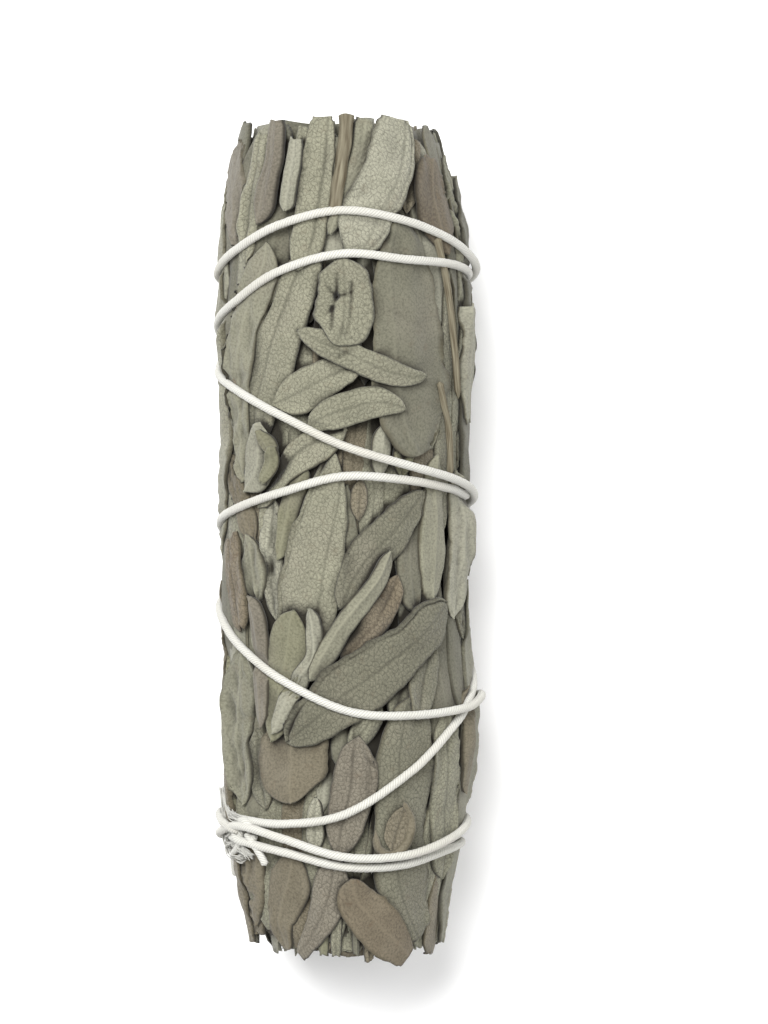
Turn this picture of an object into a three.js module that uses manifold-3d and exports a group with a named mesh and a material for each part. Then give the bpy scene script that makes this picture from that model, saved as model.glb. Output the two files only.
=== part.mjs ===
// Sage bunch: dried leaves packed in a bundle that lies along Y, with cotton string wound round it.
// Millimetres, Z up, resting on z = 0. The seen side of the bundle faces up.
import * as THREE from 'three';
import Module from 'manifold-3d';

const wasm = await Module();
wasm.setup();

// Driving dimensions
const AXIS_HEIGHT = 14.45; // height of the bundle's axis over the surface it rests on
const ARC_RADIUS = 15; // radius at which distances round the bundle are measured
const LEAF_GAP = 0.3; // clear space between neighbouring pieces
const SMALLEST_STEP = 0.02; // unevenness smaller than this is smoothed away
const BOTTOM_GAP = 0.04; // how much deeper than the surface the underside is pressed flat
const NARROW_LEAF = 3.2; // leaves narrower than this have a simple rounded section
const STRING_RADIUS = 0.53;
const STRING_RIDE = 0.05; // height of the string's centre over the leaves
const STRING_STEP = 5.5; // distance between the sections of the string
const STRING_CROSSING = 0.95; // distance between the centres of two strands that cross
const STRING_SIDES = 5;
const STRING_PIECE = 18; // sections of the string that are joined as one rod
const CORE_INSET = 4.4; // depth of the inner core under the bundle's outline
const CORE_HALF_LENGTH = 41;
const CORE_SIDES = 14;
const END_ROLL_COUNT = 8; // rolled leaves seen at each cut end
const END_ROLL_SIDES = 6;
const END_ROLL_DISC = 6.8; // radius of the disc that they fill
const END_ROLL_ROOT = 38; // distance from the middle at which they start, inside the core
const END_ROLL_REACH = 48.8; // distance from the middle that the longest one reaches
const END_ROLL_UNEVEN = 3.8; // how much shorter the shortest one is
const END_ROLL_WIDTH = 1.75;
const GOLDEN_TURN = 2.39996; // the turn, in radians, that spreads places evenly over a disc
const RING_COLUMNS = 8; // small leaves round the core, in staggered columns
const BACK_COLUMNS = 7; // large leaves of the sides and the back, in staggered columns
const BACK_COLUMN_TURN = 31; // degrees between the columns

// Radius of the bundle and sideways place of its axis, at points along its length
const OUTLINE = [
  [-50, 11.0], [-46, 12.0], [-40, 13.0], [-36, 14.1], [-31, 14.6], [-26, 14.8], [-21, 15.1],
  [-14, 14.8], [-8, 14.9], [0, 14.7], [12, 15.1], [23, 15.3], [33, 15.1], [38, 14.3],
  [42, 13.9], [45, 13.0], [50, 11.6],
];
const AXIS_DRIFT = [
  [-50, -0.2], [-40, -0.4], [-32, -0.3], [-27, 0.4], [-21, 0.6], [-14, -0.1], [-8, -0.6],
  [5, -0.6], [20, -0.3], [33, -0.6], [42, -1.0], [50, -1.2],
];

// Layers: how far the crown and the underside of a leaf lie under the bundle's outline, and the
// distance between the sections of the leaf
const LAYERS = {
  top: { sink: 0, depth: 1.35, step: 6 },
  middle: { sink: 0.6, depth: 2.5, step: 7 },
  back: { sink: 0.2, depth: 2.6, step: 13 },
  low: { sink: 1.3, depth: 3.8, step: 11 },
  fill: { sink: 3.3, depth: 4.7, step: 12 },
};

// Sections of a leaf from its left edge to its right edge: place across, drop from the crown
const WIDE_CROWN = [[-1, 0.5], [-0.5, 0.04], [0.5, 0.04], [1, 0.5]];
const NARROW_CROWN = [[-1, 0.6], [0, 0], [1, 0.6]];
const UNDERSIDE = [0.84, -0.84];

// Large leaves of the front: x and y of the middle line and the width seen from above
const FRONT_LEAVES = [
  ['right_lower_leaf', 'middle', 'grey', [[8.6, -18.3, 3.6], [8.1, -21.5, 5.4], [7.4, -26.1, 7],
    [7.2, -30.6, 7], [6.8, -35.2, 6.8], [7.2, -39.3, 6.8], [8.1, -43.2, 5], [9.4, -46.6, 2.4]]],
  ['right_edge_leaf', 'middle', 'green', [[12, -20.4, 2.4], [12.2, -26.1, 3], [12.1, -30.6, 3],
    [12.1, -35.2, 2.6], [11.6, -40.4, 1.8]]],
  ['right_knob_leaf', 'top', 'tan', [[14.4, -17.6, 1.2], [14.6, -21.5, 1.8], [14.4, -26, 1.6],
    [13.9, -30.4, 1]]],
  ['centre_lower_leaf', 'middle', 'pink', [[1.4, -23.2, 2], [1, -26.1, 5], [0.9, -28.8, 5.8],
    [0.4, -31.1, 5.8], [-0.3, -33.8, 5.2], [-0.9, -37.6, 4.6]]],
  ['left_tip_leaf', 'middle', 'green', [[-6.8, -36.6, 4.2], [-7.3, -40.2, 5], [-8.1, -42.6, 4.2],
    [-8.6, -45.4, 3], [-7.6, -48.7, 1.4]]],
  ['centre_tip_leaf', 'middle', 'green', [[-1.5, -37.2, 4.4], [-2.1, -41.1, 4.9],
    [-2.9, -43.8, 4.2], [-4.2, -46.3, 3.1], [-6, -49.2, 1.4]]],
  ['bottom_tag_leaf', 'top', 'grey', [[0.5, -40, 2.4], [1.1, -42.5, 4.8], [2.9, -44.7, 5.6],
    [4.9, -46.8, 5], [7.1, -49.4, 2.4]]],
  ['left_band_leaf', 'middle', 'green', [[-12.9, -12.8, 2.4], [-13, -18, 3], [-13.1, -23.8, 2.6],
    [-12.7, -27.4, 2.4], [-12.6, -31.6, 1.8]]],
  ['tan_tip_leaf', 'middle', 'tan', [[-6.9, -22.8, 7.6], [-6.9, -26, 8.3], [-7, -28.8, 6.6],
    [-6.9, -31.2, 2.6]]],
  ['net_leaf', 'middle', 'green', [[-2.1, 10.4, 1.2], [-2.3, 7.4, 3.6], [-3, 2.8, 6.4],
    [-4, -1.1, 7.3], [-4.6, -4.5, 7.7], [-5.2, -7.9, 7.5], [-6, -11.4, 6.3], [-7, -15.4, 4]]],
  ['olive_leaf', 'top', 'olive', [[-6.2, -8.4, 1.8], [-6.9, -11, 4], [-7.2, -13.6, 5],
    [-7.8, -16.6, 4.6], [-8.3, -19.8, 3.6], [-8.8, -24, 1.8]]],
  ['pale_limb', 'top', 'pale', [[-4.4, -8.2, 1.6], [-4, -11, 1.9], [-4, -14, 1.9],
    [-5.6, -16.5, 2], [-7.2, -19.4, 2], [-8.3, -23, 1.4]]],
  ['right_curl_leaf', 'middle', 'grey', [[10.8, -12, 2], [9.9, -15.2, 3.2], [9.2, -18.6, 3.2],
    [8.4, -21.4, 2]]],
  ['mottled_leaf', 'middle', 'brown', [[6.3, -4.3, 1.8], [5.1, -7.4, 3.6], [3.4, -10, 3.6],
    [1.4, -12.2, 2.8], [-0.8, -14.4, 1.6]]],
  ['tan_roll', 'top', 'tan', [[5.2, -1.5, 1.7], [4.2, -4.2, 2.2], [2.6, -6.6, 2.4],
    [0.8, -8.8, 2.5], [-0.9, -11, 2.5], [-2.4, -13.6, 2.4], [-4.3, -16.8, 1.6]]],
  ['pointed_net_leaf', 'middle', 'grey', [[9.7, 5.6, 1.1], [7.6, 2.9, 3.5], [5.5, 0.6, 4.8],
    [2.9, -2, 5], [0.7, -5, 4.2], [-0.9, -8.4, 2.4]]],
  ['right_tube_leaf', 'middle', 'green', [[11.2, 9.8, 1.6], [10.9, 5.9, 2.2], [10.9, 3, 3],
    [10.9, -0.6, 3.2], [10.8, -3.8, 3.1], [10.5, -8, 2.2]]],
  ['right_pale_leaf', 'middle', 'pale', [[13.2, 8, 1.6], [13.5, 2, 2], [13.4, -4, 2.1],
    [12.9, -9.6, 1.6]]],
  ['diagonal_leaf', 'top', 'grey', [[11.8, -7.6, 1.2], [10.1, -10, 3.8], [7.9, -12.3, 4.9],
    [5.1, -14.5, 6], [2.1, -16.7, 6.9], [-0.8, -18.7, 7], [-4.2, -21.6, 5.4], [-7.2, -24, 1.6]]],
  ['left_brown_leaf', 'middle', 'brown', [[-14, 0.2, 1.8], [-13.9, -3.6, 2.2], [-13.5, -7, 2.4],
    [-13.1, -10.8, 1.8]]],
  ['purple_leaf', 'top', 'pink', [[-11.7, -6.8, 1.3], [-11, -9.4, 1.9], [-10.6, -12, 2.1],
    [-10.4, -15, 2], [-10.4, -18.4, 1.9], [-10.1, -22.4, 1.4]]],
  ['long_left_leaf', 'middle', 'green', [[-4.2, 34.6, 2.8], [-5.6, 30.8, 4.5], [-7.6, 26, 5.1],
    [-8.8, 22.9, 5.1], [-9.8, 19.3, 4.9], [-10.9, 15.4, 3.8], [-11.3, 11, 2.4]]],
  ['left_strip_leaf', 'middle', 'grey', [[-10, 34.8, 3.2], [-10.4, 32.3, 3.9], [-11.7, 28.4, 3.8],
    [-12.6, 24.8, 3.3], [-13.2, 20.2, 3], [-13.3, 15.7, 2.5], [-13.1, 11.1, 2],
    [-12.7, 6.6, 1.3]]],
  ['crossing_leaf', 'middle', 'green', [[-9.2, 15.6, 2.2], [-6.1, 17, 4.6], [-3.4, 18.4, 4.6],
    [-0.6, 19.6, 4], [2.2, 20.2, 2.6]]],
  ['slanted_leaf', 'middle', 'green', [[0, 12.8, 1.9], [-3, 11.3, 3.8], [-5.5, 9.9, 3.8],
    [-7.6, 8.1, 2.9], [-9.6, 5.7, 2.2], [-11.2, 3.6, 1.2]]],
  ['cut_fold_leaf', 'top', 'pale', [[-10.5, 13.4, 1.3], [-10.4, 10.6, 3.3], [-10.8, 8, 3.5],
    [-12.3, 5.4, 1.8]]],
  ['lower_pointed_leaf', 'top', 'green', [[-4.9, 13, 1.6], [-2.4, 14.3, 3.6], [0.3, 15.2, 4.3],
    [3, 15.8, 4.1], [5.1, 15.7, 2.6], [7, 15.1, 0.8]]],
  ['upper_pointed_leaf', 'top', 'green', [[-5.9, 24.4, 1.1], [-3, 22.9, 3.2], [0.6, 21.3, 3.4],
    [4.2, 19.7, 3.3], [7.3, 18.9, 2], [9.4, 19, 0.8]]],
  ['crinkled_leaf', 'top', 'green', [[-0.6, 32.8, 3.8], [-0.4, 30.6, 6.8], [-0.3, 27.8, 7.4],
    [-0.5, 24.8, 7], [-1.4, 22.6, 4.6]]],
  ['wide_smooth_leaf', 'middle', 'grey', [[8.4, 37.4, 4.4], [7.4, 33.3, 6.7], [7.4, 29, 8.3],
    [7.8, 24.8, 9.1], [8, 20.2, 9.8], [8.6, 16.3, 9.8], [9.4, 13, 7.2], [10.8, 10.6, 2.4]]],
  ['torn_brown_leaf', 'middle', 'brown', [[10.5, 44.6, 2.2], [10.7, 41, 3.7], [11.4, 37, 3.6],
    [12.4, 33.4, 2]]],
  ['right_slip_leaf', 'middle', 'pale', [[13.8, 27.4, 1.2], [14.2, 24, 1.5], [14.2, 19.6, 1.5],
    [14.3, 14, 1.2]]],
  ['left_cup_leaf', 'middle', 'tan', [[-13.8, 46, 2.6], [-14, 40.4, 2.7], [-13.8, 34.6, 1.9]]],
  ['left_roll', 'middle', 'green', [[-10.5, 47.8, 1.5], [-11.2, 44.4, 2.1], [-12.1, 39.9, 2.1],
    [-12.4, 35.7, 2], [-12.5, 32.4, 1.5]]],
  ['pale_front_leaf', 'middle', 'pale', [[-3.2, 49.6, 3.4], [-3.4, 46.6, 4], [-3.8, 43, 4.2],
    [-4.4, 39.3, 4.5], [-5.1, 35.1, 4.6], [-6, 31.4, 3.6]]],
  ['cut_roll', 'top', 'tan', [[-8.6, 49.2, 2.2], [-9.1, 44.8, 2.5], [-10.1, 40, 2.5],
    [-10.8, 36.9, 2.2]]],
  ['looped_roll', 'top', 'pale', [[-6.2, 47, 2], [-6.8, 43, 2.2], [-7.5, 38.4, 1.9]]],
  ['narrow_top_leaf', 'middle', 'green', [[2.5, 49.2, 2.8], [2, 45.8, 2.8], [0.6, 42.1, 2.5],
    [-0.9, 39, 2], [-2.2, 35.6, 1.4]]],
  ['broad_top_leaf', 'top', 'pale', [[5.8, 49.4, 3.4], [5.9, 47, 4.9], [4.9, 43, 5.8],
    [3.2, 39.3, 6.1], [1.5, 35.8, 6], [0, 32.8, 4]]],
];

// Smaller front leaves that belong to the packed mass
const LOW_FRONT_LEAVES = [
  [[-5.7, 48.4, 1.7], [-6.2, 43, 1.6]],
  [[-0.6, 47, 2.2], [-0.8, 41, 2.2]],
  [[8.2, 47.2, 2.4], [8.2, 42.6, 2.8], [7.9, 38.2, 2.4]],
  [[-15, 33, 1.2], [-15.1, 22, 1.4], [-15, 12, 1.2]],
  [[-14.4, -14, 1.4], [-14.2, -24, 1.6], [-13.8, -34, 1.4]],
  [[12.4, 45.4, 1.8], [13.6, 36, 2.2], [14.1, 26, 1.9]],
  [[14, 14, 1.4], [13.9, 2, 1.7], [14, -12, 1.6]],
  [[-14.6, 10, 1.6], [-13.9, 6.6, 1.9], [-12.8, 3.2, 2], [-11.6, -0.4, 2]],
  [[-9.6, 3.7, 1.8], [-9.7, -2, 1.7], [-9.3, -9.1, 1.4]],
  [[-5, 8.1, 2.6], [-6.9, 5.4, 3], [-7.9, 1, 2.1], [-8.6, -2.6, 1.4]],
  [[7.6, -15.4, 2.4], [6.6, -18.6, 2.8], [6, -21.6, 2.2]],
  [[8.8, 3, 2], [8, -2, 3], [8.2, -6, 2.8], [8.8, -9, 1.8]],
  [[1.7, 7, 2.2], [1.5, 2, 2.6]],
  [[4.8, 13.4, 2.8], [4.2, 7, 2.4]],
  [[7.6, 12.4, 2.8], [7.2, 7, 2.6]],
  [[-12, 0.4, 2.4], [-11.7, -4, 2.9], [-11.2, -7.8, 1.8]],
  [[-11.2, -22.4, 2], [-11, -27.2, 2.6], [-10.4, -32, 2]],
  [[-12, -35, 2.4], [-12, -41, 2.8], [-11.2, -46, 1.8]],
  [[-4.1, -30.4, 1.4], [-4.2, -33.6, 2.3], [-4.2, -37, 2.6]],
  [[-3.2, -43, 1.9], [-3.2, -49.2, 1.4]],
  [[-1.4, -42, 1.9], [-1.5, -49.4, 1.4]],
  [[1.2, -43, 1.4], [1.2, -49.3, 1]],
  [[3, -44, 1.9], [3, -49.7, 1.5]],
];

// Stems: x and y of the middle line, and the radius
const STEMS = [
  ['top_stem', 'stem', 0.8, [[0, 49.9], [-0.3, 46.5], [-1.2, 41], [-1.7, 36.5]]],
  ['side_stem', 'stem', 0.45, [[10.9, 35.4], [11.9, 31], [12.5, 27], [13, 22.3], [13.5, 16.4]]],
  ['leaf_stalk', 'stem', 0.4, [[11.1, 18.4], [11.7, 15.6], [12.3, 12.6], [12.5, 6.8]]],
];
const SCROLL_RADIUS = 0.95;
const SCROLL = [[6.7, -31], [7.6, -33.4], [6.9, -36], [5.2, -37.3], [3.7, -36.4], [3.3, -34.2]];

// Route of the string: degrees round the bundle from the top, and y. It starts and ends at the knot.
const STRING_ROUTE = [
  [-62, -33.2], [-30, -33.6], [0, -32.4], [30, -27.3], [60, -20.9], [90, -16.4],
  [150, -9], [210, -3], [270, 1.7], [300, 3.4], [330, 5.3], [360, 7.2], [390, 6.8], [420, 5.8],
  [450, 5.2], [510, 12], [570, 19.5], [630, 25.2], [660, 27.7], [690, 31.3], [720, 33.3],
  [750, 32.7], [780, 32.3], [810, 31.4], [870, 30], [930, 30.2], [990, 31.3], [1020, 33.8],
  [1050, 36.8], [1080, 38.4], [1110, 37.4], [1140, 35.2], [1170, 32.2], [1230, 28.6],
  [1290, 24.4], [1350, 19.8], [1380, 17.6], [1410, 14.4], [1440, 10.8], [1470, 8.5],
  [1500, 6.8], [1530, 4.9], [1590, 0.5], [1650, -4.4], [1710, -8.4], [1740, -12.6],
  [1770, -17], [1800, -20.4], [1830, -20.8], [1860, -20], [1890, -18.6], [1950, -23],
  [2010, -29], [2070, -34.4], [2110, -36.1], [2130, -37], [2160, -38.6], [2190, -38.5],
  [2220, -37], [2250, -36.2], [2310, -36.6], [2370, -36.6], [2430, -35.2], [2465, -34],
  [2490, -35.3], [2520, -37.4], [2550, -37.3], [2580, -35.4], [2610, -33.6], [2670, -32.4],
  [2730, -32.2], [2790, -33], [2822, -34.6],
];
const KNOT_PLACE = [-56, -34.6];
const KNOT_SIZE = [1.9, 1.3]; // half width and half height of the loop of the knot
const LOOSE_ENDS = [
  [[-58, -34.4], [-62, -36.2], [-72, -37.6], [-80, -40]],
  [[-54, -34.8], [-47, -36.8], [-43, -38.6]],
];

const COLOURS = {
  grey: '#8a887a', green: '#9a9883', olive: '#8f8c70', tan: '#948a74', brown: '#857a66',
  pale: '#a9a692', pink: '#8d8579', stem: '#8c8262', string: '#e4e2da', packed: '#77735f',
};
const BACK_TONES = ['green', 'grey', 'tan', 'green', 'pale'];

// A steady value from 0 to 1 for each pair of numbers
function scatter(index, salt) {
  const wave = Math.sin(index * 12.9898 + salt * 78.233) * 43758.5453;
  return wave - Math.floor(wave);
}

function readCurve(table, at) {
  let i = 1;
  while (i < table.length - 1 && table[i][0] < at) i += 1;
  const [x0, v0] = table[i - 1];
  const [x1, v1] = table[i];
  const t = Math.min(1, Math.max(0, (at - x0) / (x1 - x0)));
  return v0 + (v1 - v0) * t;
}

const bundleRadius = (y) => readCurve(OUTLINE, y);
const axisX = (y) => readCurve(AXIS_DRIFT, y);

// A point at an angle round the bundle (0 is up), at y, and at a distance from the axis
function onBundle(angle, y, radius) {
  return new THREE.Vector3(
    axisX(y) + radius * Math.sin(angle), y, AXIS_HEIGHT + radius * Math.cos(angle));
}

function angleSeenAt(x, y) {
  const share = (x - axisX(y)) / bundleRadius(y);
  return Math.asin(Math.min(0.992, Math.max(-0.992, share)));
}

// A closed solid through rings of equal point counts, with a flat fan at each end
function skin(rings) {
  const count = rings[0].length;
  const points = rings.flat();
  const faces = [];
  for (let i = 0; i < rings.length - 1; i += 1) {
    for (let j = 0; j < count; j += 1) {
      const a = i * count + j;
      const b = i * count + ((j + 1) % count);
      faces.push(a, b, a + count, b, b + count, a + count);
    }
  }
  const last = (rings.length - 1) * count;
  for (let j = 1; j < count - 1; j += 1) {
    faces.push(0, j + 1, j);
    faces.push(last, last + j, last + j + 1);
  }
  const vertProperties = new Float32Array(points.flatMap((p) => [p.x, p.y, p.z]));
  const solid = new wasm.Manifold(
    new wasm.Mesh({ numProp: 3, vertProperties, triVerts: new Uint32Array(faces) }));
  return solid;
}

// Sections along a leaf: arc length round the bundle, y, width and direction
function leafStations(spine, step) {
  const points = spine.map(([arc, y, width]) => new THREE.Vector3(arc, y, width));
  const curve = new THREE.CatmullRomCurve3(points, false, 'centripetal');
  const steps = Math.max(spine.length > 3 ? 4 : 2, Math.round(curve.getLength() / step));
  return curve.getSpacedPoints(steps).map((point, i) => {
    const tangent = curve.getTangentAt(i / steps);
    const along = new THREE.Vector2(tangent.x, tangent.y).normalize();
    return { arc: point.x, y: point.y, width: point.z, along };
  });
}

// A leaf that follows the bundle: grow makes every side larger by that much
function leafSolid(spine, layer, grow) {
  const stations = leafStations(spine, layer.step);
  const widest = Math.max(...stations.map((station) => station.width));
  const crown = widest < NARROW_LEAF || layer === LAYERS.fill ? NARROW_CROWN : WIDE_CROWN;
  const rings = stations.map((station, i) => {
    const end = i === 0 ? -1 : Number(i === stations.length - 1);
    const arc = station.arc + station.along.x * grow * end;
    const y = station.y + station.along.y * grow * end;
    const half = station.width / 2 + grow;
    const ring = [];
    const place = (across, radial) => {
      const yHere = y - station.along.x * across * half;
      const radius = bundleRadius(yHere) - layer.sink + radial;
      const angle = arc / ARC_RADIUS + (station.along.y * across * half) / bundleRadius(yHere);
      ring.push(onBundle(angle, yHere, radius));
    };
    const tipDrop = end === 0 ? 0 : 0.25;
    crown.forEach(([across, drop]) => place(across, grow - drop - tipDrop));
    UNDERSIDE.forEach((across) => place(across, layer.sink - layer.depth - grow));
    return ring;
  });
  return skin(rings);
}

// The middle line of a front leaf, from its seen place to its place round the bundle
function wrapSpine(seen) {
  return seen.map(([x, y, width]) => {
    const angle = angleSeenAt(x, y);
    return [angle * ARC_RADIUS, y, width / Math.max(0.5, Math.cos(angle))];
  });
}

// Round sections along places in space, each turned so that it faces along the line
function rodRings(places, radius, sides) {
  const side = new THREE.Vector3();
  const up = new THREE.Vector3();
  const along = new THREE.Vector3();
  return places.map((place, i) => {
    const before = places[Math.max(0, i - 1)];
    const after = places[Math.min(places.length - 1, i + 1)];
    along.subVectors(after, before).normalize();
    const out = new THREE.Vector3(place.x - axisX(place.y), 0, place.z - AXIS_HEIGHT).normalize();
    side.crossVectors(along, out).normalize();
    up.crossVectors(side, along).normalize();
    const ring = [];
    for (let j = 0; j < sides; j += 1) {
      const turn = (j / sides) * 2 * Math.PI;
      ring.push(place.clone()
        .addScaledVector(side, -radius * Math.cos(turn))
        .addScaledVector(up, radius * Math.sin(turn)));
    }
    return ring;
  });
}

function rodSolid(points, radius, sides, step) {
  const curve = new THREE.CatmullRomCurve3(points, false, 'centripetal');
  const steps = Math.max(2, Math.round(curve.getLength() / step));
  return skin(rodRings(curve.getSpacedPoints(steps), radius, sides));
}

function stemPoints(seen, radius) {
  return seen.map(([x, y]) => onBundle(angleSeenAt(x, y), y, bundleRadius(y) - radius));
}

// The string's middle line: sunk on the underside so that it stays over the surface
function stringPoint(degrees, y, lift) {
  const angle = THREE.MathUtils.degToRad(degrees);
  const down = Math.max(0.01, -Math.cos(angle));
  const lowest = (AXIS_HEIGHT - STRING_RADIUS - BOTTOM_GAP) / down;
  return onBundle(angle, y, Math.min(bundleRadius(y) + STRING_RIDE + lift, lowest));
}

// Places along the string, each raised where it crosses an earlier turn
function stringPlaces() {
  const degreeArc = THREE.MathUtils.degToRad(ARC_RADIUS);
  const route = STRING_ROUTE.map(([degrees, y]) => new THREE.Vector3(degrees * degreeArc, y, 0));
  const curve = new THREE.CatmullRomCurve3(route, false, 'centripetal');
  const steps = Math.round(curve.getLength() / STRING_STEP);
  const flat = curve.getSpacedPoints(steps).map((point) => [point.x / degreeArc, point.y]);
  return flat.map(([degrees, y], i) => {
    let lift = 0;
    for (let j = 0; j < i - 6; j += 1) {
      for (const share of [0, 0.25, 0.5, 0.75]) {
        const other = flat[j + 1];
        const turn = flat[j][0] + (other[0] - flat[j][0]) * share;
        const otherY = flat[j][1] + (other[1] - flat[j][1]) * share;
        const apart = (((degrees - turn) % 360) + 540) % 360 - 180;
        const distance = Math.hypot(apart * degreeArc, y - otherY);
        lift = Math.max(lift, STRING_CROSSING * (1.25 - distance / 4));
      }
    }
    return [degrees, y, Math.min(STRING_CROSSING, Math.max(0, lift))];
  });
}

function stringSolid(grow) {
  const places = stringPlaces().map(([degrees, y, lift]) => stringPoint(degrees, y, lift));
  const rings = rodRings(places, STRING_RADIUS + grow, STRING_SIDES);
  const turns = [];
  for (let start = 0; start < rings.length - 1; start += STRING_PIECE) {
    turns.push(skin(rings.slice(start, start + STRING_PIECE + 1)));
  }
  return wasm.Manifold.union([...turns, ...knotSolids(grow)]);
}

function knotSolids(grow) {
  const [degrees, y] = KNOT_PLACE;
  const [wide, high] = KNOT_SIZE;
  const loop = [];
  for (let k = 0; k <= 8; k += 1) {
    const turn = (k / 8) * 1.9 * Math.PI;
    const lift = 0.5 + 0.45 * Math.sin(turn * 2);
    const aside = THREE.MathUtils.radToDeg((wide * Math.cos(turn)) / ARC_RADIUS);
    loop.push(stringPoint(degrees + aside, y + high * Math.sin(turn), lift));
  }
  const pieces = [rodSolid(loop, STRING_RADIUS + grow, STRING_SIDES, 1.6)];
  for (const end of LOOSE_ENDS) {
    const points = end.map(([turn, along]) => stringPoint(turn, along, 0.3));
    pieces.push(rodSolid(points, STRING_RADIUS * 0.9 + grow, STRING_SIDES, 2.2));
  }
  return pieces;
}

function coreSolid() {
  const rings = [-1, -0.9, -0.5, -0.15, 0.15, 0.5, 0.9, 1].map((share) => {
    const y = share * CORE_HALF_LENGTH;
    const taper = Math.abs(share) === 1 ? 1.2 : 0;
    const ring = [];
    for (let j = 0; j < CORE_SIDES; j += 1) {
      const radius = bundleRadius(y) - CORE_INSET - taper;
      ring.push(onBundle((j / CORE_SIDES) * 2 * Math.PI, y, radius));
    }
    return ring;
  });
  return skin(rings);
}

// Small leaves round the core, in staggered columns
function ringLeaves() {
  const leaves = [];
  for (let column = 0; column < RING_COLUMNS; column += 1) {
    for (const middle of column % 2 ? [-21, 21] : [-34, 2, 36]) {
      const i = leaves.length;
      const arc = ((column + 0.3 * scatter(i, 1)) / RING_COLUMNS) * 2 * Math.PI * ARC_RADIUS;
      const length = column % 2 ? 44 : 34;
      const width = 11 + 2 * scatter(i, 2);
      const spine = leanedSpine(arc, middle, length, width, 0.2 * (scatter(i, 3) - 0.5));
      leaves.push(leafSolid(spine, LAYERS.fill, 0));
    }
  }
  return leaves;
}

function leanedSpine(arc, middle, length, width, lean) {
  return [-1, -0.45, 0.1, 0.6, 1].map((share, i) => {
    const y = Math.max(-48, Math.min(48, middle + share * 0.5 * length));
    const across = width * [0.35, 0.9, 1, 0.75, 0.2][i];
    return [arc + (y - middle) * lean, y, across];
  });
}

// Rolled leaves that show at both cut ends
function endRolls() {
  const rolls = [];
  for (const end of [-1, 1]) {
    for (let k = 0; k < END_ROLL_COUNT; k += 1) {
      const away = END_ROLL_DISC * Math.sqrt((k + 0.4) / END_ROLL_COUNT);
      const angle = k * GOLDEN_TURN + (end > 0 ? 0 : 1.1);
      const reach = END_ROLL_REACH - END_ROLL_UNEVEN * scatter(k, 5 + end) - away * 0.12;
      rolls.push(endRoll(angle, away, end, reach, k));
    }
  }
  return rolls;
}

// A flattened roll, a little narrower at its cut end
function endRoll(angle, away, end, reach, k) {
  const wide = END_ROLL_WIDTH + 0.6 * scatter(k, 8 + end);
  const thin = wide * (0.55 + 0.3 * scatter(k, 11 + end));
  const twist = scatter(k, 14 + end) * Math.PI;
  const stations = [[END_ROLL_ROOT, 1.1], [reach - 1.5, 1], [reach, 0.72]];
  const rings = stations.map(([y, scale]) => {
    const centre = onBundle(angle, end * y, away * (1 - (y - END_ROLL_ROOT) * 0.004));
    const ring = [];
    for (let j = 0; j < END_ROLL_SIDES; j += 1) {
      const turn = (j / END_ROLL_SIDES) * 2 * Math.PI * end;
      const across = wide * scale * Math.sin(turn);
      const up = thin * scale * Math.cos(turn);
      ring.push(new THREE.Vector3(
        centre.x + across * Math.cos(twist) + up * Math.sin(twist), centre.y,
        centre.z - across * Math.sin(twist) + up * Math.cos(twist)));
    }
    return ring;
  });
  return skin(rings);
}

// Large leaves of the sides and the back, in staggered columns
function backLeaves() {
  const leaves = [];
  for (let column = 0; column < BACK_COLUMNS; column += 1) {
    for (const middle of column % 2 ? [-19, 27] : [-27, 19]) {
      const i = leaves.length;
      const turn = (column - (BACK_COLUMNS - 1) / 2) * BACK_COLUMN_TURN;
      const degrees = 180 + turn + 6 * (scatter(i, 21) - 0.5);
      const length = 44 + 4 * scatter(i, 22);
      const outer = column === 0 || column === BACK_COLUMNS - 1;
      const width = (outer ? 10 : 7.6) + 1.2 * scatter(i, 23);
      const lean = 0.24 * (scatter(i, 24) - 0.5);
      const arc = THREE.MathUtils.degToRad(degrees) * ARC_RADIUS;
      const spine = leanedSpine(arc, middle + 3 * (scatter(i, 25) - 0.5), length, width, lean);
      leaves.push([`back_leaf_${i + 1}`, 'back', BACK_TONES[i % BACK_TONES.length], spine]);
    }
  }
  return leaves;
}

function largestBody(solid) {
  return solid.decompose().reduce((best, body) => (body.volume() > best.volume() ? body : best));
}

function finish(solid) {
  return largestBody(solid.trimByPlane([0, 0, 1], 0).simplify(SMALLEST_STEP));
}

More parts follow.
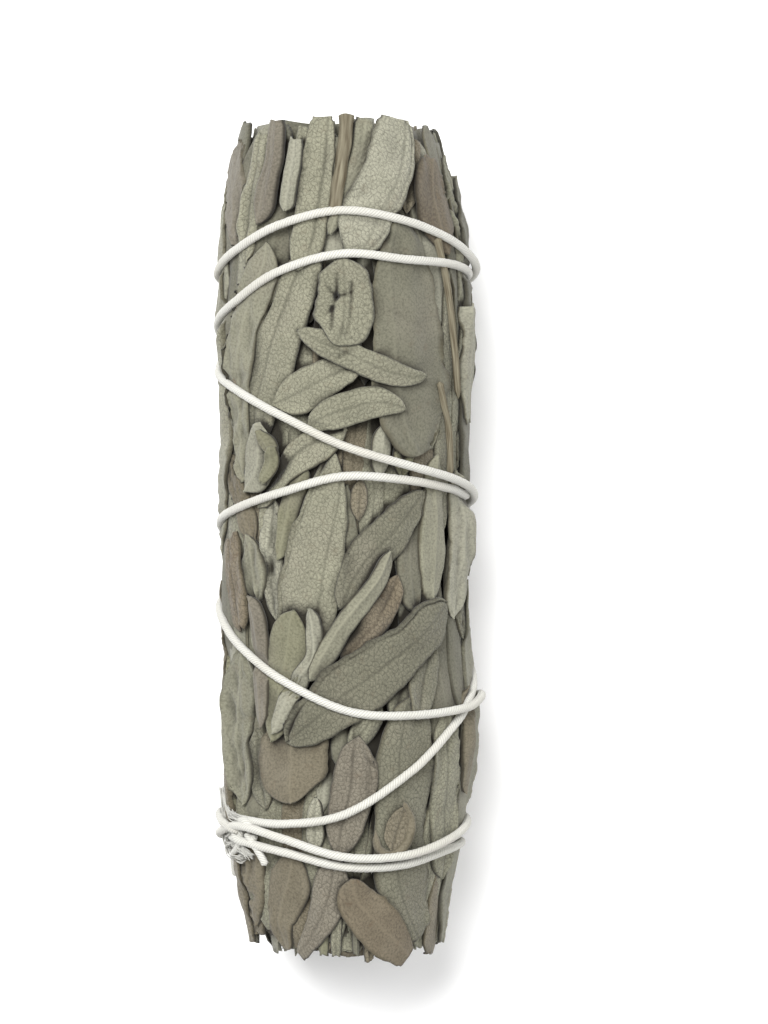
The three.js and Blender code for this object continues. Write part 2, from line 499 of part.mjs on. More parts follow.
// Each piece on top cuts a bed for itself, one gap wider than itself, in the pieces under it
function assemble() {
  const pieces = [];
  for (const [name, layer, tone, spine] of backLeaves()) {
    const build = (grow) => leafSolid(spine, LAYERS[layer], grow);
    pieces.push({ name, tone, build });
  }
  const order = ['middle', 'top'];
  for (const wanted of order) {
    for (const [name, layer, tone, seen] of FRONT_LEAVES.filter((leaf) => leaf[1] === wanted)) {
      const build = (grow) => leafSolid(wrapSpine(seen), LAYERS[layer], grow);
      pieces.push({ name, tone, build });
    }
  }
  for (const [name, tone, radius, seen] of STEMS) {
    const build = (grow) => rodSolid(stemPoints(seen, radius), radius + grow, 6, 4);
    pieces.push({ name, tone, build });
  }
  const scroll = (grow) => rodSolid(stemPoints(SCROLL, SCROLL_RADIUS), SCROLL_RADIUS + grow, 8, 2);
  pieces.push({ name: 'scroll_leaf', tone: 'tan', build: scroll });
  pieces.push({ name: 'cotton_string', tone: 'string', build: stringSolid });

  const meshes = [];
  let above = null;
  for (const piece of pieces.reverse()) {
    let solid = piece.build(0);
    if (above) solid = solid.subtract(above);
    meshes.push(toMesh(piece.name, piece.tone, finish(solid)));
    const bed = piece.build(LEAF_GAP);
    above = above ? above.add(bed) : bed;
  }
  const low = LOW_FRONT_LEAVES.map((seen) => leafSolid(wrapSpine(seen), LAYERS.low, 0));
  const packed = wasm.Manifold.union([coreSolid(), ...ringLeaves(), ...endRolls(), ...low]);
  meshes.push(toMesh('packed_leaves', 'packed', finish(packed.subtract(above))));
  return meshes.reverse();
}

function toMesh(name, tone, solid) {
  const mesh = solid.getMesh();
  const geometry = new THREE.BufferGeometry();
  const places = new Float32Array(mesh.numVert * 3);
  for (let i = 0; i < mesh.numVert; i += 1) {
    places.set(mesh.vertProperties.slice(i * mesh.numProp, i * mesh.numProp + 3), i * 3);
  }
  geometry.setAttribute('position', new THREE.BufferAttribute(places, 3));
  geometry.setIndex(new THREE.BufferAttribute(new Uint32Array(mesh.triVerts), 1));
  geometry.computeVertexNormals();
  const material = new THREE.MeshStandardMaterial({
    color: COLOURS[tone], roughness: tone === 'string' ? 0.95 : 0.85, metalness: 0 });
  const result = new THREE.Mesh(geometry, material);
  result.name = name;
  return result;
}

const group = new THREE.Group();
group.name = 'sage_bunch';
group.add(...assemble());

export default group;
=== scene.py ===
import math
from dataclasses import dataclass

import bpy
import numpy as np
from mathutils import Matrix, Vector


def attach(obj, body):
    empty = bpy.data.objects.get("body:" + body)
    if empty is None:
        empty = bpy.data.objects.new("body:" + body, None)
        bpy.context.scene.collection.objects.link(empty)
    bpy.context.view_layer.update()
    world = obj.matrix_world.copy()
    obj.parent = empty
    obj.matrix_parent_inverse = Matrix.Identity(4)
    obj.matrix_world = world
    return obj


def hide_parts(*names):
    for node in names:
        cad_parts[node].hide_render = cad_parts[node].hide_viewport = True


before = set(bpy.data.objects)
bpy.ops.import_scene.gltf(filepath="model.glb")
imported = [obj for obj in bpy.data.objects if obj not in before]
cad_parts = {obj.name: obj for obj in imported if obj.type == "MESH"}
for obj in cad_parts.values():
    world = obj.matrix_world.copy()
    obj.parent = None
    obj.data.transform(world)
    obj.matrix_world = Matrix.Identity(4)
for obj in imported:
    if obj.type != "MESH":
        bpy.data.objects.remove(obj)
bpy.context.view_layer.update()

# Driving dimensions, shared with the solids
AXIS_HEIGHT = 14.45  # height of the bundle's axis over the floor
ARC_RADIUS = 15  # radius at which distances round the bundle are measured
STRING_RADIUS = 0.53
STRING_CROSSING = 0.95  # distance between the centres of two strands that cross
OUTLINE = [
    (-50, 11.0), (-46, 12.0), (-40, 13.0), (-36, 14.1), (-31, 14.6), (-26, 14.8), (-21, 15.1),
    (-14, 14.8), (-8, 14.9), (0, 14.7), (12, 15.1), (23, 15.3), (33, 15.1), (38, 14.3),
    (42, 13.9), (45, 13.0), (50, 11.6),
]
AXIS_DRIFT = [
    (-50, -0.2), (-40, -0.4), (-32, -0.3), (-27, 0.4), (-21, 0.6), (-14, -0.1), (-8, -0.6),
    (5, -0.6), (20, -0.3), (33, -0.6), (42, -1.0), (50, -1.2),
]

# Fine dimensions, only of the look
SINK = {"top": -0.15, "middle": 0.55, "back": 0.2, "low": 0.9, "under": 1.9}  # under the outline
SIDE_SINK = 0.55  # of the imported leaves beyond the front
LEAF_THICKNESS = 0.42
LAY_GAP = 0.05  # clear space between a leaf and what it lies on
LEAF_FLOOR_GAP = 0.02
BUMP_SIZE = 3.2  # distance between the bumps of a leaf
WRINKLE_SIZE = 1.2
FOLD_WIDTH = 0.35  # share of a leaf's half width
VEIN_WIDTH = 0.25
RIM_PLACE = 0.65  # distance of the groove behind a raised rim from the leaf's edge
RIM_WIDTH = 0.16
CUT_FROM = 46  # distance from the middle beyond which leaves are cut off bluntly
GAP_DEPTH = 2.0  # of the dark gaps
MAP_STEP = 0.25  # cell size of the map of what has been laid
MAP_END = 52  # distance from the middle that the map reaches
MAP_START = 4.4  # depth under the outline at which the map starts
CREVICE_DEPTH = 0.7  # depth under the neighbours at which the painted shade of a crevice is full
STRING_RIDE = -0.2  # height of the string's centre over the outline
STRING_SINK = 0.34  # how far the leaves under the string reach over its underside
STRING_FLOOR_GAP = 0.04
STRING_SIDES = 18
PLY_TWIST = 2.2  # length of one turn of the string's plies
YARNS = 26  # in each frayed strand
FIBRES = 700
UNDER_COLUMNS = 25  # leaves packed just under the large ones
UNDER_ROWS = 4
CORE_DEPTH = 3.0  # depth of the fine core under the outline
CORE_END = 44  # distance from the middle that the core reaches
SPRIGS_AWAY = 6.2  # distance of the outer sprigs at a cut end from the middle one
LEAF_TURNS = (0.75, 1.4, 2.0, 2.6, 3.2, 3.8)  # radii of the leaves round each sprig's stem
RIM_TURNS = (9.4, 10.1)  # radii of the leaves round all the sprigs
END_ROOT = 42.5  # distance from the middle at which the leaves of the cut end start
END_REACH = 49.2  # distance that the longest one reaches
END_UNEVEN = 3.2  # how much shorter the shortest one is
VEIN_AT = 20  # place of the middle vein in a leaf's material
LEAVES_APART = 97.3  # between leaves in the material, so that no two look alike
UV_SCALE = 10  # millimetres for each unit of the material's places
ROUND_SCALE = 0.6  # the same for each radian round a rod

# Large leaves of the front: name, layer, tone, how it differs from a plain leaf, and x and y
# of the middle line with the width seen from above
FRONT_LEAVES = [
    ("right_lower_leaf", "middle", "grey", dict(fold=0.2, vein=1.2),
     [(8.6, -18.3, 3.6), (8.1, -21.5, 5.4), (7.4, -26.1, 7), (7.2, -30.6, 7), (6.8, -35.2, 6.8),
      (7.2, -39.3, 6.8), (8.1, -43.2, 5), (9.4, -46.6, 2.4)]),
    ("right_edge_leaf", "middle", "green", dict(),
     [(12, -20.4, 2.4), (12.2, -26.1, 3), (12.1, -30.6, 3), (12.1, -35.2, 2.6),
      (11.6, -40.4, 1.8)]),
    ("right_knob_leaf", "top", "tan", dict(side="felt", roll=0.8, wave=0.4),
     [(14.4, -17.6, 1.2), (14.6, -21.5, 1.8), (14.4, -26, 1.6), (13.9, -30.4, 1)]),
    ("centre_lower_leaf", "middle", "pink", dict(fold=-0.35, vein=0.4, points=(12, 5),
     creases=[(-2.4, 4, -0.8, 1.2, 0.3)]),
     [(1.4, -23.2, 2), (1, -26.1, 5), (0.9, -28.8, 5.8), (0.4, -31.1, 5.8), (-0.3, -33.8, 5.2),
      (-0.9, -37.6, 4.6)]),
    ("left_tip_leaf", "middle", "tan", dict(side="felt", curl=(110, 60), fold=-0.3),
     [(-6.8, -36.6, 4.2), (-7.3, -40.2, 5), (-8.1, -42.6, 4.2), (-8.6, -45.4, 3),
      (-7.6, -48.7, 1.4)]),
    ("centre_tip_leaf", "middle", "pink", dict(fold=0.2),
     [(-1.5, -37.2, 4.4), (-2.1, -41.1, 4.9), (-2.9, -43.8, 4.2), (-4.2, -46.3, 3.1),
      (-6, -49.2, 1.4)]),
    ("bottom_tag_leaf", "top", "brown", dict(roll=0.25, curl=(50, 50), side="felt", point=0.5),
     [(0.5, -40, 2.4), (1.1, -42.5, 4.8), (2.9, -44.7, 5.6), (4.9, -46.8, 5), (7.1, -49.4, 2.4)]),
    ("left_band_leaf", "middle", "green", dict(side="felt", fold=-0.3),
     [(-12.9, -12.8, 2.4), (-13, -18, 3), (-13.1, -23.8, 2.6), (-12.7, -27.4, 2.4),
      (-12.6, -31.6, 1.8)]),
    ("tan_tip_leaf", "middle", "tan", dict(side="felt", roll=0.25, curl=(50, 50), torn=(0.7, 0),
     point=0.5),
     [(-6.9, -22.8, 7.6), (-6.9, -26, 8.3), (-7, -28.6, 7.4), (-6.9, -31.2, 4.6)]),
    ("net_leaf", "middle", "green", dict(vein=-1.6, curl=(60, 60), wave=0.22, rims=(0, 0.25),
     point=0.6, points=(14, 5)),
     [(-2.1, 10.4, 1.2), (-2.3, 7.4, 3.6), (-3, 2.8, 6.4), (-4, -1.1, 7.3), (-4.6, -4.5, 7.7),
      (-5.2, -7.9, 7.5), (-6, -11.4, 6.3), (-7, -15.4, 4)]),
    ("olive_leaf", "top", "olive", dict(side="felt", curl=(60, 60)),
     [(-6.2, -8.4, 1.8), (-6.9, -11, 4), (-7.2, -13.6, 5), (-7.8, -16.6, 4.6), (-8.3, -19.8, 3.6),
      (-8.8, -24, 1.8)]),
    ("pale_limb", "top", "pale", dict(side="felt", roll=0.6, fold=0.3),
     [(-4.4, -8.2, 1.6), (-4, -11, 1.9), (-4, -14, 1.9), (-5.6, -16.5, 2), (-7.2, -19.4, 2),
      (-8.3, -23, 1.4)]),
    ("right_curl_leaf", "middle", "grey", dict(fold=-0.3),
     [(10.8, -12, 2), (9.9, -15.2, 3.2), (9.2, -18.6, 3.2), (8.4, -21.4, 2)]),
    ("mottled_leaf", "middle", "brown", dict(wave=0.3, curl=(60, 60)),
     [(6.3, -4.3, 1.8), (5.1, -7.4, 3.6), (3.4, -10, 3.6), (1.4, -12.2, 2.8), (-0.8, -14.4, 1.6)]),
    ("tan_roll", "top", "green", dict(side="felt", roll=0.6, fold=0.35, vein=0.3),
     [(5.2, -1.5, 1.7), (4.2, -4.2, 2.2), (2.6, -6.6, 2.4), (0.8, -8.8, 2.5), (-0.9, -11, 2.5),
      (-2.4, -13.6, 2.4), (-4.3, -16.8, 1.6)]),
    ("pointed_net_leaf", "middle", "grey", dict(curl=(60, 100)),
     [(9.7, 5.6, 1.1), (7.6, 2.9, 3.5), (5.5, 0.6, 4.8), (2.9, -2, 5), (0.7, -5, 4.2),
      (-0.9, -8.4, 2.4)]),
    ("right_tube_leaf", "middle", "green", dict(side="felt", roll=0.9),
     [(11.2, 9.8, 1.6), (10.9, 5.9, 2.2), (10.9, 3, 3), (10.9, -0.6, 3.2), (10.8, -3.8, 3.1),
      (10.5, -8, 2.2)]),
    ("right_pale_leaf", "middle", "pale", dict(side="felt"),
     [(13.2, 8, 1.6), (13.5, 2, 2), (13.4, -4, 2.1), (12.9, -9.6, 1.6)]),
    ("diagonal_leaf", "top", "grey", dict(curl=(60, 70), roll=0.3, wave=0.14, rims=(0, 0.35),
     point=0.5, points=(14, 5)),
     [(11.8, -7.6, 1.2), (10.1, -10, 3.8), (7.9, -12.3, 4.9), (5.1, -14.5, 6), (2.1, -16.7, 6.9),
      (-0.8, -18.7, 7), (-4.2, -21.6, 5.4), (-7.2, -24, 1.6)]),
    ("left_brown_leaf", "middle", "brown", dict(wave=0.5, torn=(0.5, 0.5)),
     [(-14, 0.2, 1.8), (-13.9, -3.6, 2.2), (-13.5, -7, 2.4), (-13.1, -10.8, 1.8)]),
    ("purple_leaf", "top", "pink", dict(side="felt", roll=0.6, fold=0.2),
     [(-11.7, -6.8, 1.3), (-11, -9.4, 1.9), (-10.6, -12, 2.1), (-10.4, -15, 2),
      (-10.4, -18.4, 1.9), (-10.1, -22.4, 1.4)]),
    ("long_left_leaf", "middle", "green", dict(fold=-0.25, vein=0.8),
     [(-4.2, 34.6, 2.8), (-5.6, 30.8, 4.5), (-7.6, 26, 5.1), (-8.8, 22.9, 5.1), (-9.8, 19.3, 4.9),
      (-10.9, 15.4, 3.8), (-11.3, 11, 2.4)]),
    ("left_strip_leaf", "middle", "green", dict(side="felt", curl=(60, 140), fold=-0.3),
     [(-10, 34.8, 3.2), (-10.4, 32.3, 3.9), (-11.7, 28.4, 3.8), (-12.6, 24.8, 3.3),
      (-13.2, 20.2, 3), (-13.3, 15.7, 2.5), (-13.1, 11.1, 2), (-12.7, 6.6, 1.3)]),
    ("crossing_leaf", "middle", "green", dict(curl=(60, 60), roll=0.3),
     [(-9.2, 15.6, 2.2), (-6.1, 17, 4.6), (-3.4, 18.4, 4.6), (-0.6, 19.6, 4), (2.2, 20.2, 2.6)]),
    ("slanted_leaf", "middle", "green", dict(fold=-0.3, vein=0.5),
     [(0, 12.8, 1.9), (-3, 11.3, 3.8), (-5.5, 9.9, 3.8), (-7.6, 8.1, 2.9), (-9.6, 5.7, 2.2),
      (-11.2, 3.6, 1.2)]),
    ("cut_fold_leaf", "top", "pale", dict(side="felt", curl=(50, 130), roll=0.35, torn=(0.4, 0),
     lift=(0.5, 0)),
     [(-10.5, 13.4, 1.3), (-10.4, 10.6, 3.3), (-10.8, 8, 3.5), (-12.3, 5.4, 1.8)]),
    ("lower_pointed_leaf", "top", "green", dict(curl=(50, 50), roll=0.3),
     [(-4.9, 13, 1.6), (-2.4, 14.3, 3.6), (0.3, 15.2, 4.3), (3, 15.8, 4.1), (5.1, 15.7, 2.6),
      (7, 15.1, 0.8)]),
    ("upper_pointed_leaf", "top", "green", dict(curl=(50, 70), roll=0.3, creases=[(0.9, 5.6, -1.1,
     7.2, 0.35)]),
     [(-5.9, 24.4, 1.1), (-3, 22.9, 3.2), (0.6, 21.3, 3.4), (4.2, 19.7, 3.3), (7.3, 18.9, 2),
      (9.4, 19, 0.8)]),
    ("crinkled_leaf", "top", "green", dict(wave=0.25, roll=0.6, point=0.5, points=(18, 5),
     step=0.3, creases=[(1, 4.6, 0.8, 1.8, 0.55), (1, 4.6, 2.3, 3.2, 0.5), (1, 4.6, -0.6, 4.1,
     0.5), (1, 4.6, 1.5, 6, 0.45), (1.5, 6, 2.6, 7.2, 0.35), (1.5, 6, 1.3, 9, 0.5), (-0.9, 3, -0.6,
     9, 0.4)]),
     [(-0.6, 32.8, 3.8), (-0.4, 30.6, 6.8), (-0.3, 27.8, 7.4), (-0.5, 24.8, 7),
      (-1.4, 22.6, 4.6)]),
    ("wide_smooth_leaf", "middle", "grey", dict(side="felt", curl=(50, 50), roll=0.3, vein=2.4,
     wave=0.2, point=0.6, points=(14, 5), creases=[(2.6, 11, -1.2, 13, 0.18)]),
     [(8.4, 37.4, 4.4), (7.4, 33.3, 6.7), (7.4, 29, 8.3), (7.8, 24.8, 9.1), (8, 20.2, 9.8),
      (8.6, 16.3, 9.8), (9.4, 13, 7.2), (10.8, 10.6, 2.4)]),
    ("torn_brown_leaf", "middle", "brown", dict(torn=(0.8, 0), wave=0.3, side="felt"),
     [(10.5, 44.6, 2.2), (10.7, 41, 3.7), (11.4, 37, 3.6), (12.4, 33.4, 2)]),
    ("right_slip_leaf", "middle", "pale", dict(side="felt", torn=(0.5, 0.5)),
     [(13.8, 27.4, 1.2), (14.2, 24, 1.5), (14.2, 19.6, 1.5), (14.3, 14, 1.2)]),
    ("left_cup_leaf", "middle", "pink", dict(side="felt", fold=-0.7, curl=(40, 40), torn=(0.2, 0)),
     [(-13.8, 46, 2.6), (-14, 40.4, 2.7), (-13.8, 34.6, 1.9)]),
    ("left_roll", "middle", "green", dict(roll=0.9, torn=(0.2, 0)),
     [(-10.5, 47.8, 1.5), (-11.2, 44.4, 2.1), (-12.1, 39.9, 2.1), (-12.4, 35.7, 2),
      (-12.5, 32.4, 1.5)]),
    ("pale_front_leaf", "middle", "green", dict(fold=-0.35, vein=-0.8),
     [(-3.2, 49.6, 3.4), (-3.4, 46.6, 4), (-3.8, 43, 4.2), (-4.4, 39.3, 4.5), (-5.1, 35.1, 4.6),
      (-6, 31.4, 3.6)]),
    ("cut_roll", "top", "pink", dict(side="felt", roll=0.8, torn=(0.15, 0), fold=-0.3, vein=0.2),
     [(-8.6, 49.2, 2.2), (-9.1, 44.8, 2.5), (-10.1, 40, 2.5), (-10.8, 36.9, 2.2)]),
    ("looped_roll", "top", "pale", dict(side="felt", roll=0.7, fold=-0.4, point=0.5),
     [(-6.2, 47, 2), (-6.8, 43, 2.2), (-7.5, 38.4, 1.9)]),
    ("narrow_top_leaf", "middle", "green", dict(side="felt", roll=0.8, fold=-0.3),
     [(2.5, 49.2, 2.8), (2, 45.8, 2.8), (0.6, 42.1, 2.5), (-0.9, 39, 2), (-2.2, 35.6, 1.4)]),
    ("broad_top_leaf", "top", "pale", dict(curl=(95, 60), vein=-1.2, wave=0.25, fold=0.2,
     rims=(0.25, 0), points=(12, 5)),
     [(5.8, 49.4, 3.4), (5.9, 47, 4.9), (4.9, 43, 5.8), (3.2, 39.3, 6.1), (1.5, 35.8, 6),
      (0, 32.8, 4)]),
]

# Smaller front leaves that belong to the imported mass
LOW_FRONT_LEAVES = [
    [(-5.7, 48.4, 1.7), (-6.2, 43, 1.6)],
    [(-0.6, 47, 2.2), (-0.8, 41, 2.2)],
    [(8.2, 47.2, 2.4), (8.2, 42.6, 2.8), (7.9, 38.2, 2.4)],
    [(-15, 33, 1.2), (-15.1, 22, 1.4), (-15, 12, 1.2)],
    [(-14.4, -14, 1.4), (-14.2, -24, 1.6), (-13.8, -34, 1.4)],
    [(12.4, 45.4, 1.8), (13.6, 36, 2.2), (14.1, 26, 1.9)],
    [(14, 14, 1.4), (13.9, 2, 1.7), (14, -12, 1.6)],
    [(-14.6, 10, 1.6), (-13.9, 6.6, 1.9), (-12.8, 3.2, 2), (-11.6, -0.4, 2)],
    [(-9.4, 4.6, 1.8), (-9.7, -2, 2.6), (-9.2, -9.6, 1.8)],
    [(-5, 8.1, 2.6), (-6.9, 5.4, 3), (-7.9, 1, 2.1), (-8.6, -2.6, 1.4)],
    [(7.6, -15.4, 2.4), (6.6, -18.6, 2.8), (6, -21.6, 2.2)],
    [(8.8, 3, 2), (8, -2, 3), (8.2, -6, 2.8), (8.8, -9, 1.8)],
    [(1.7, 7, 2.2), (1.5, 2, 2.6)],
    [(4.8, 13.4, 2.8), (4.2, 7, 2.4)],
    [(7.6, 12.4, 2.8), (7.2, 7, 2.6)],
    [(-12, 0.4, 2.4), (-11.7, -4, 2.9), (-11.2, -7.8, 1.8)],
    [(-11.2, -22.4, 2), (-11, -27.2, 2.6), (-10.4, -32, 2)],
    [(-12, -35, 2.4), (-12, -41, 2.8), (-11.2, -46, 1.8)],
    [(-4.1, -30.4, 1.4), (-4.2, -33.6, 2.3), (-4.2, -37, 2.6)],
    [(-3.2, -43, 1.9), (-3.2, -49.2, 1.4)],
    [(-1.4, -42, 1.9), (-1.5, -49.4, 1.4)],
    [(1.2, -43, 1.4), (1.2, -49.3, 1)],
    [(3, -44, 1.9), (3, -49.7, 1.5)],
]

# Dark gaps between the front leaves: x, y and radius seen from above
GAPS = [
    (-5.5, -31.5, 1.6), (-2.9, -30.9, 1.1), (-6.4, -43.7, 1.9), (4, -24.7, 1.5), (5.9, -22.4, 1.1),
    (2.3, -40.1, 1.2), (-11.7, -39.6, 1.5), (-11.9, -42.6, 1.4), (-2.3, -27.3, 1.1),
    (-8.8, 39.2, 1.1), (-8, 33.7, 1.2), (-9.8, 28.8, 1.2), (-6.9, 21.1, 1.3), (2.5, 12.1, 1.3),
    (-0.1, 9.9, 1.2), (3.7, 22.5, 1), (-11.4, 22.8, 1.1), (4.9, 4.9, 1.3), (6.1, 4.5, 1),
    (0.6, 2.5, 0.9), (-4.3, -16.4, 1), (6.6, -9.6, 1.2), (-9.7, -11.3, 0.9), (5.2, -19, 1.1),
    (-12.7, -16.8, 0.9), (8.1, -15.5, 0.8),
]

# Colours of the smaller leaves, in turn
LOW_TONES = ("green", "grey", "tan", "pale", "olive")
BACK_TONES = ("green", "grey", "tan", "green", "pale")
UNDER_TONES = ("green", "grey", "tan", "pale", "green", "grey")
END_TONES = ("green", "grey", "tan", "pale", "green")

# Stems: name, radius, and x and y of the middle line
STEMS = [
    ("top_stem", 0.8, [(0, 49.9), (-0.3, 46.5), (-1.2, 41), (-1.7, 37.4)]),
    ("side_stem", 0.45, [(10.9, 35.4), (11.9, 31), (12.5, 27), (13, 22.3), (13.5, 16.4)]),
    ("leaf_stalk", 0.4, [(11.1, 18.4), (11.7, 15.6), (12.3, 12.6), (12.5, 6.8)]),
]
SCROLL_RADIUS = 0.62
SCROLL = [(6.7, -31), (7.6, -33.4), (6.9, -36), (5.2, -37.3), (3.7, -36.4), (3.3, -34.2)]
CUT_FLAPS = [
    [(-9.9, 12.6, 0.8), (-9.3, 11.2, 1.5), (-8.6, 9.8, 1.1)],
    [(-8.4, 10.6, 0.7), (-8.9, 8.6, 1.5), (-10, 6.6, 1.1)],
]
CRUMPLED = [(4.4, -19.6, 1.8), (2.8, -21.6, 3.4), (1.4, -23.4, 3), (0.2, -25, 1.2)]
SCROLL_BLADE = [(6.9, -31.4, 1.2), (6.3, -33.2, 3), (5.7, -35.2, 3.6), (5.2, -37, 2.2)]

# Route of the string: degrees round the bundle from the top, and y
STRING_ROUTE = [
    (-62, -33.2), (-30, -33.6), (0, -32.4), (30, -27.3), (60, -20.9), (90, -16.4),
    (150, -9), (210, -3), (270, 1.7), (300, 3.4), (330, 5.3), (360, 7.2), (390, 6.8), (420, 5.8),
    (450, 5.2), (510, 12), (570, 19.5), (630, 25.2), (660, 27.7), (690, 31.3), (720, 33.3),
    (750, 32.7), (780, 32.3), (810, 31.4), (870, 30), (930, 30.2), (990, 31.3), (1020, 33.8),
    (1050, 36.8), (1080, 38.4), (1110, 37.4), (1140, 35.2), (1170, 32.2), (1230, 28.6),
    (1290, 24.4), (1350, 19.8), (1380, 17.6), (1410, 14.4), (1440, 10.8), (1470, 8.5),
    (1500, 6.8), (1530, 4.9), (1590, 0.5), (1650, -4.4), (1710, -8.4), (1740, -12.6),
    (1770, -17), (1800, -20.4), (1830, -20.8), (1860, -20), (1890, -18.6), (1950, -23),
    (2010, -29), (2070, -34.4), (2110, -36.1), (2130, -37), (2160, -38.6), (2190, -38.5),
    (2220, -37), (2250, -36.2), (2310, -36.6), (2370, -36.6), (2430, -35.2), (2465, -34),
    (2490, -35.3), (2520, -37.4), (2550, -37.3), (2580, -35.4), (2610, -33.6), (2670, -32.4),
    (2730, -32.2), (2790, -33), (2822, -34.6),
]
KNOT_PLACE = (-56, -34.6)
KNOT_SIZE = (1.9, 1.3)
LOOSE_ENDS = [
    [(-58, -34.4), (-62, -36.2), (-72, -37.6), (-80, -40)],
    [(-54, -34.8), (-47, -36.8), (-43, -38.6)],
]
# Soft frayed strands of the knot: degrees and y
TANGLE = [
    [(-84, -29.6), (-80, -33), (-79, -36), (-70, -37.6), (-60, -37.9)],
    [(-77, -30.2), (-69, -32.2), (-60, -33.2), (-52, -33.4)],
    [(-80, -34.8), (-70, -35), (-62, -34.2), (-55, -33.8)],
    [(-78, -36.8), (-68, -36.2), (-60, -36.6), (-53, -37.6)],
]
DEGREE_ARC = math.radians(ARC_RADIUS)


@dataclass
class Leaf:
    name: str
    layer: str
    tone: str
    spine: list  # arc round the bundle, y and width
    seed: int
    side: str = "net"  # net: the upper side with its net of veins; felt: the smooth underside
    curl: tuple = (85, 85)  # how far the left and right edges roll down, in degrees
    roll: float = 0.34  # radius of the rolled edges
    point: float = 0.8  # shape of its tips: 0.5 is round, 1 is pointed
    wave: float = 0.18  # height of its unevenness
    fold: float = 0.0  # height of the fold along its middle vein, below zero for a trough
    vein: float = 0.0  # place of the middle vein, from the middle line to the right
    creases: tuple = ()  # short valleys: across and along of both ends, and the depth
    rims: tuple = (0.0, 0.0)  # depth of the groove behind a raised left and right rim
    torn: tuple = (0.0, 0.0)  # unevenness of the first and last end; rounded off where zero
    lift: tuple = (0.0, 0.0)  # how far the first and last end stand up
    step: float = 0.36  # distance between its sections
    points: tuple = (9, 5)  # points of the flat part and of the rolled edge, for each side


# Shared measures of the bundle

def curve_at(table, y):
    return np.interp(y, [row[0] for row in table], [row[1] for row in table])


def bundle_radius(y):
    return curve_at(OUTLINE, y)


def axis_x(y):
    return curve_at(AXIS_DRIFT, y)


def on_bundle(angle, y, radius):
    angle, y, radius = np.broadcast_arrays(angle, y, radius)
    x = axis_x(y) + radius * np.sin(angle)
    return np.stack([x, y, AXIS_HEIGHT + radius * np.cos(angle)], axis=-1)


def angle_seen_at(x, y):
    share = (x - axis_x(y)) / bundle_radius(y)
    return math.asin(min(0.992, max(-0.992, share)))


def scatter(index, salt):
    """A steady value from 0 to 1 for each pair of numbers."""
    wave = math.sin(index * 12.9898 + salt * 78.233) * 43758.5453
    return wave - math.floor(wave)


def smooth_line(points, step=None, count=None):
    """A line through points, as evenly spaced places along its length."""
    p = np.array(points, float)
    p = np.vstack([2 * p[0] - p[1], p, 2 * p[-1] - p[-2]])
    dense = []
    for i in range(1, len(p) - 2):
        a, b, c = [max(1e-4, np.linalg.norm(p[i + k] - p[i + k - 1]) ** 0.5) for k in (0, 1, 2)]
        start = (p[i] - p[i - 1]) / a - (p[i + 1] - p[i - 1]) / (a + b) + (p[i + 1] - p[i]) / b
        stop = (p[i + 1] - p[i]) / b - (p[i + 2] - p[i]) / (b + c) + (p[i + 2] - p[i + 1]) / c
        t = np.linspace(0, 1, 24, endpoint=False)[:, None]
        square, cube = t ** 2, t ** 3
        dense.append((2 * cube - 3 * square + 1) * p[i] + (cube - 2 * square + t) * start * b
                     + (3 * square - 2 * cube) * p[i + 1] + (cube - square) * stop * b)
    dense = np.vstack(dense + [p[-2:-1]])
    length = line_length(dense)
    count = count or max(4, int(round(length[-1] / step)) + 1)
    at = np.linspace(0, length[-1], count)
    return np.stack([np.interp(at, length, dense[:, k]) for k in range(p.shape[1])], axis=-1)


def line_length(points):
    steps = np.linalg.norm(np.diff(points, axis=0), axis=1)
    return np.concatenate([[0], np.cumsum(steps)])


def unit(vectors):
    """The same directions, each 1 long."""
    return vectors / np.linalg.norm(vectors, axis=-1, keepdims=True)


def hill(away, reach):
    """1 in its middle, and next to nothing beyond twice its reach."""
    return np.exp(-(away / reach) ** 2)


def round_turns(sides):
    """Angles of the sides of a ring, as one row."""
    return np.linspace(0, 2 * math.pi, sides, endpoint=False)[None, :]


def flat_places(across, along):
    """Places in a material, one row for each point of a grid."""
    return np.stack(np.broadcast_arrays(across, along), axis=-1).reshape(-1, 2)


def waves(x, y, size, seed):
    """A smooth uneven surface between about -1 and 1, with bumps of about that size."""
    rng = np.random.default_rng(seed)
    total = 0
    for _ in range(5):
        turn = rng.uniform(0, math.pi)
        pace = 2 * math.pi / (size * rng.uniform(1.4, 3.2))
        ahead = (x * math.cos(turn) + y * math.sin(turn)) * pace
        total = total + np.sin(ahead + rng.uniform(0, 2 * math.pi))
    return total / 3


# The map of what has been laid

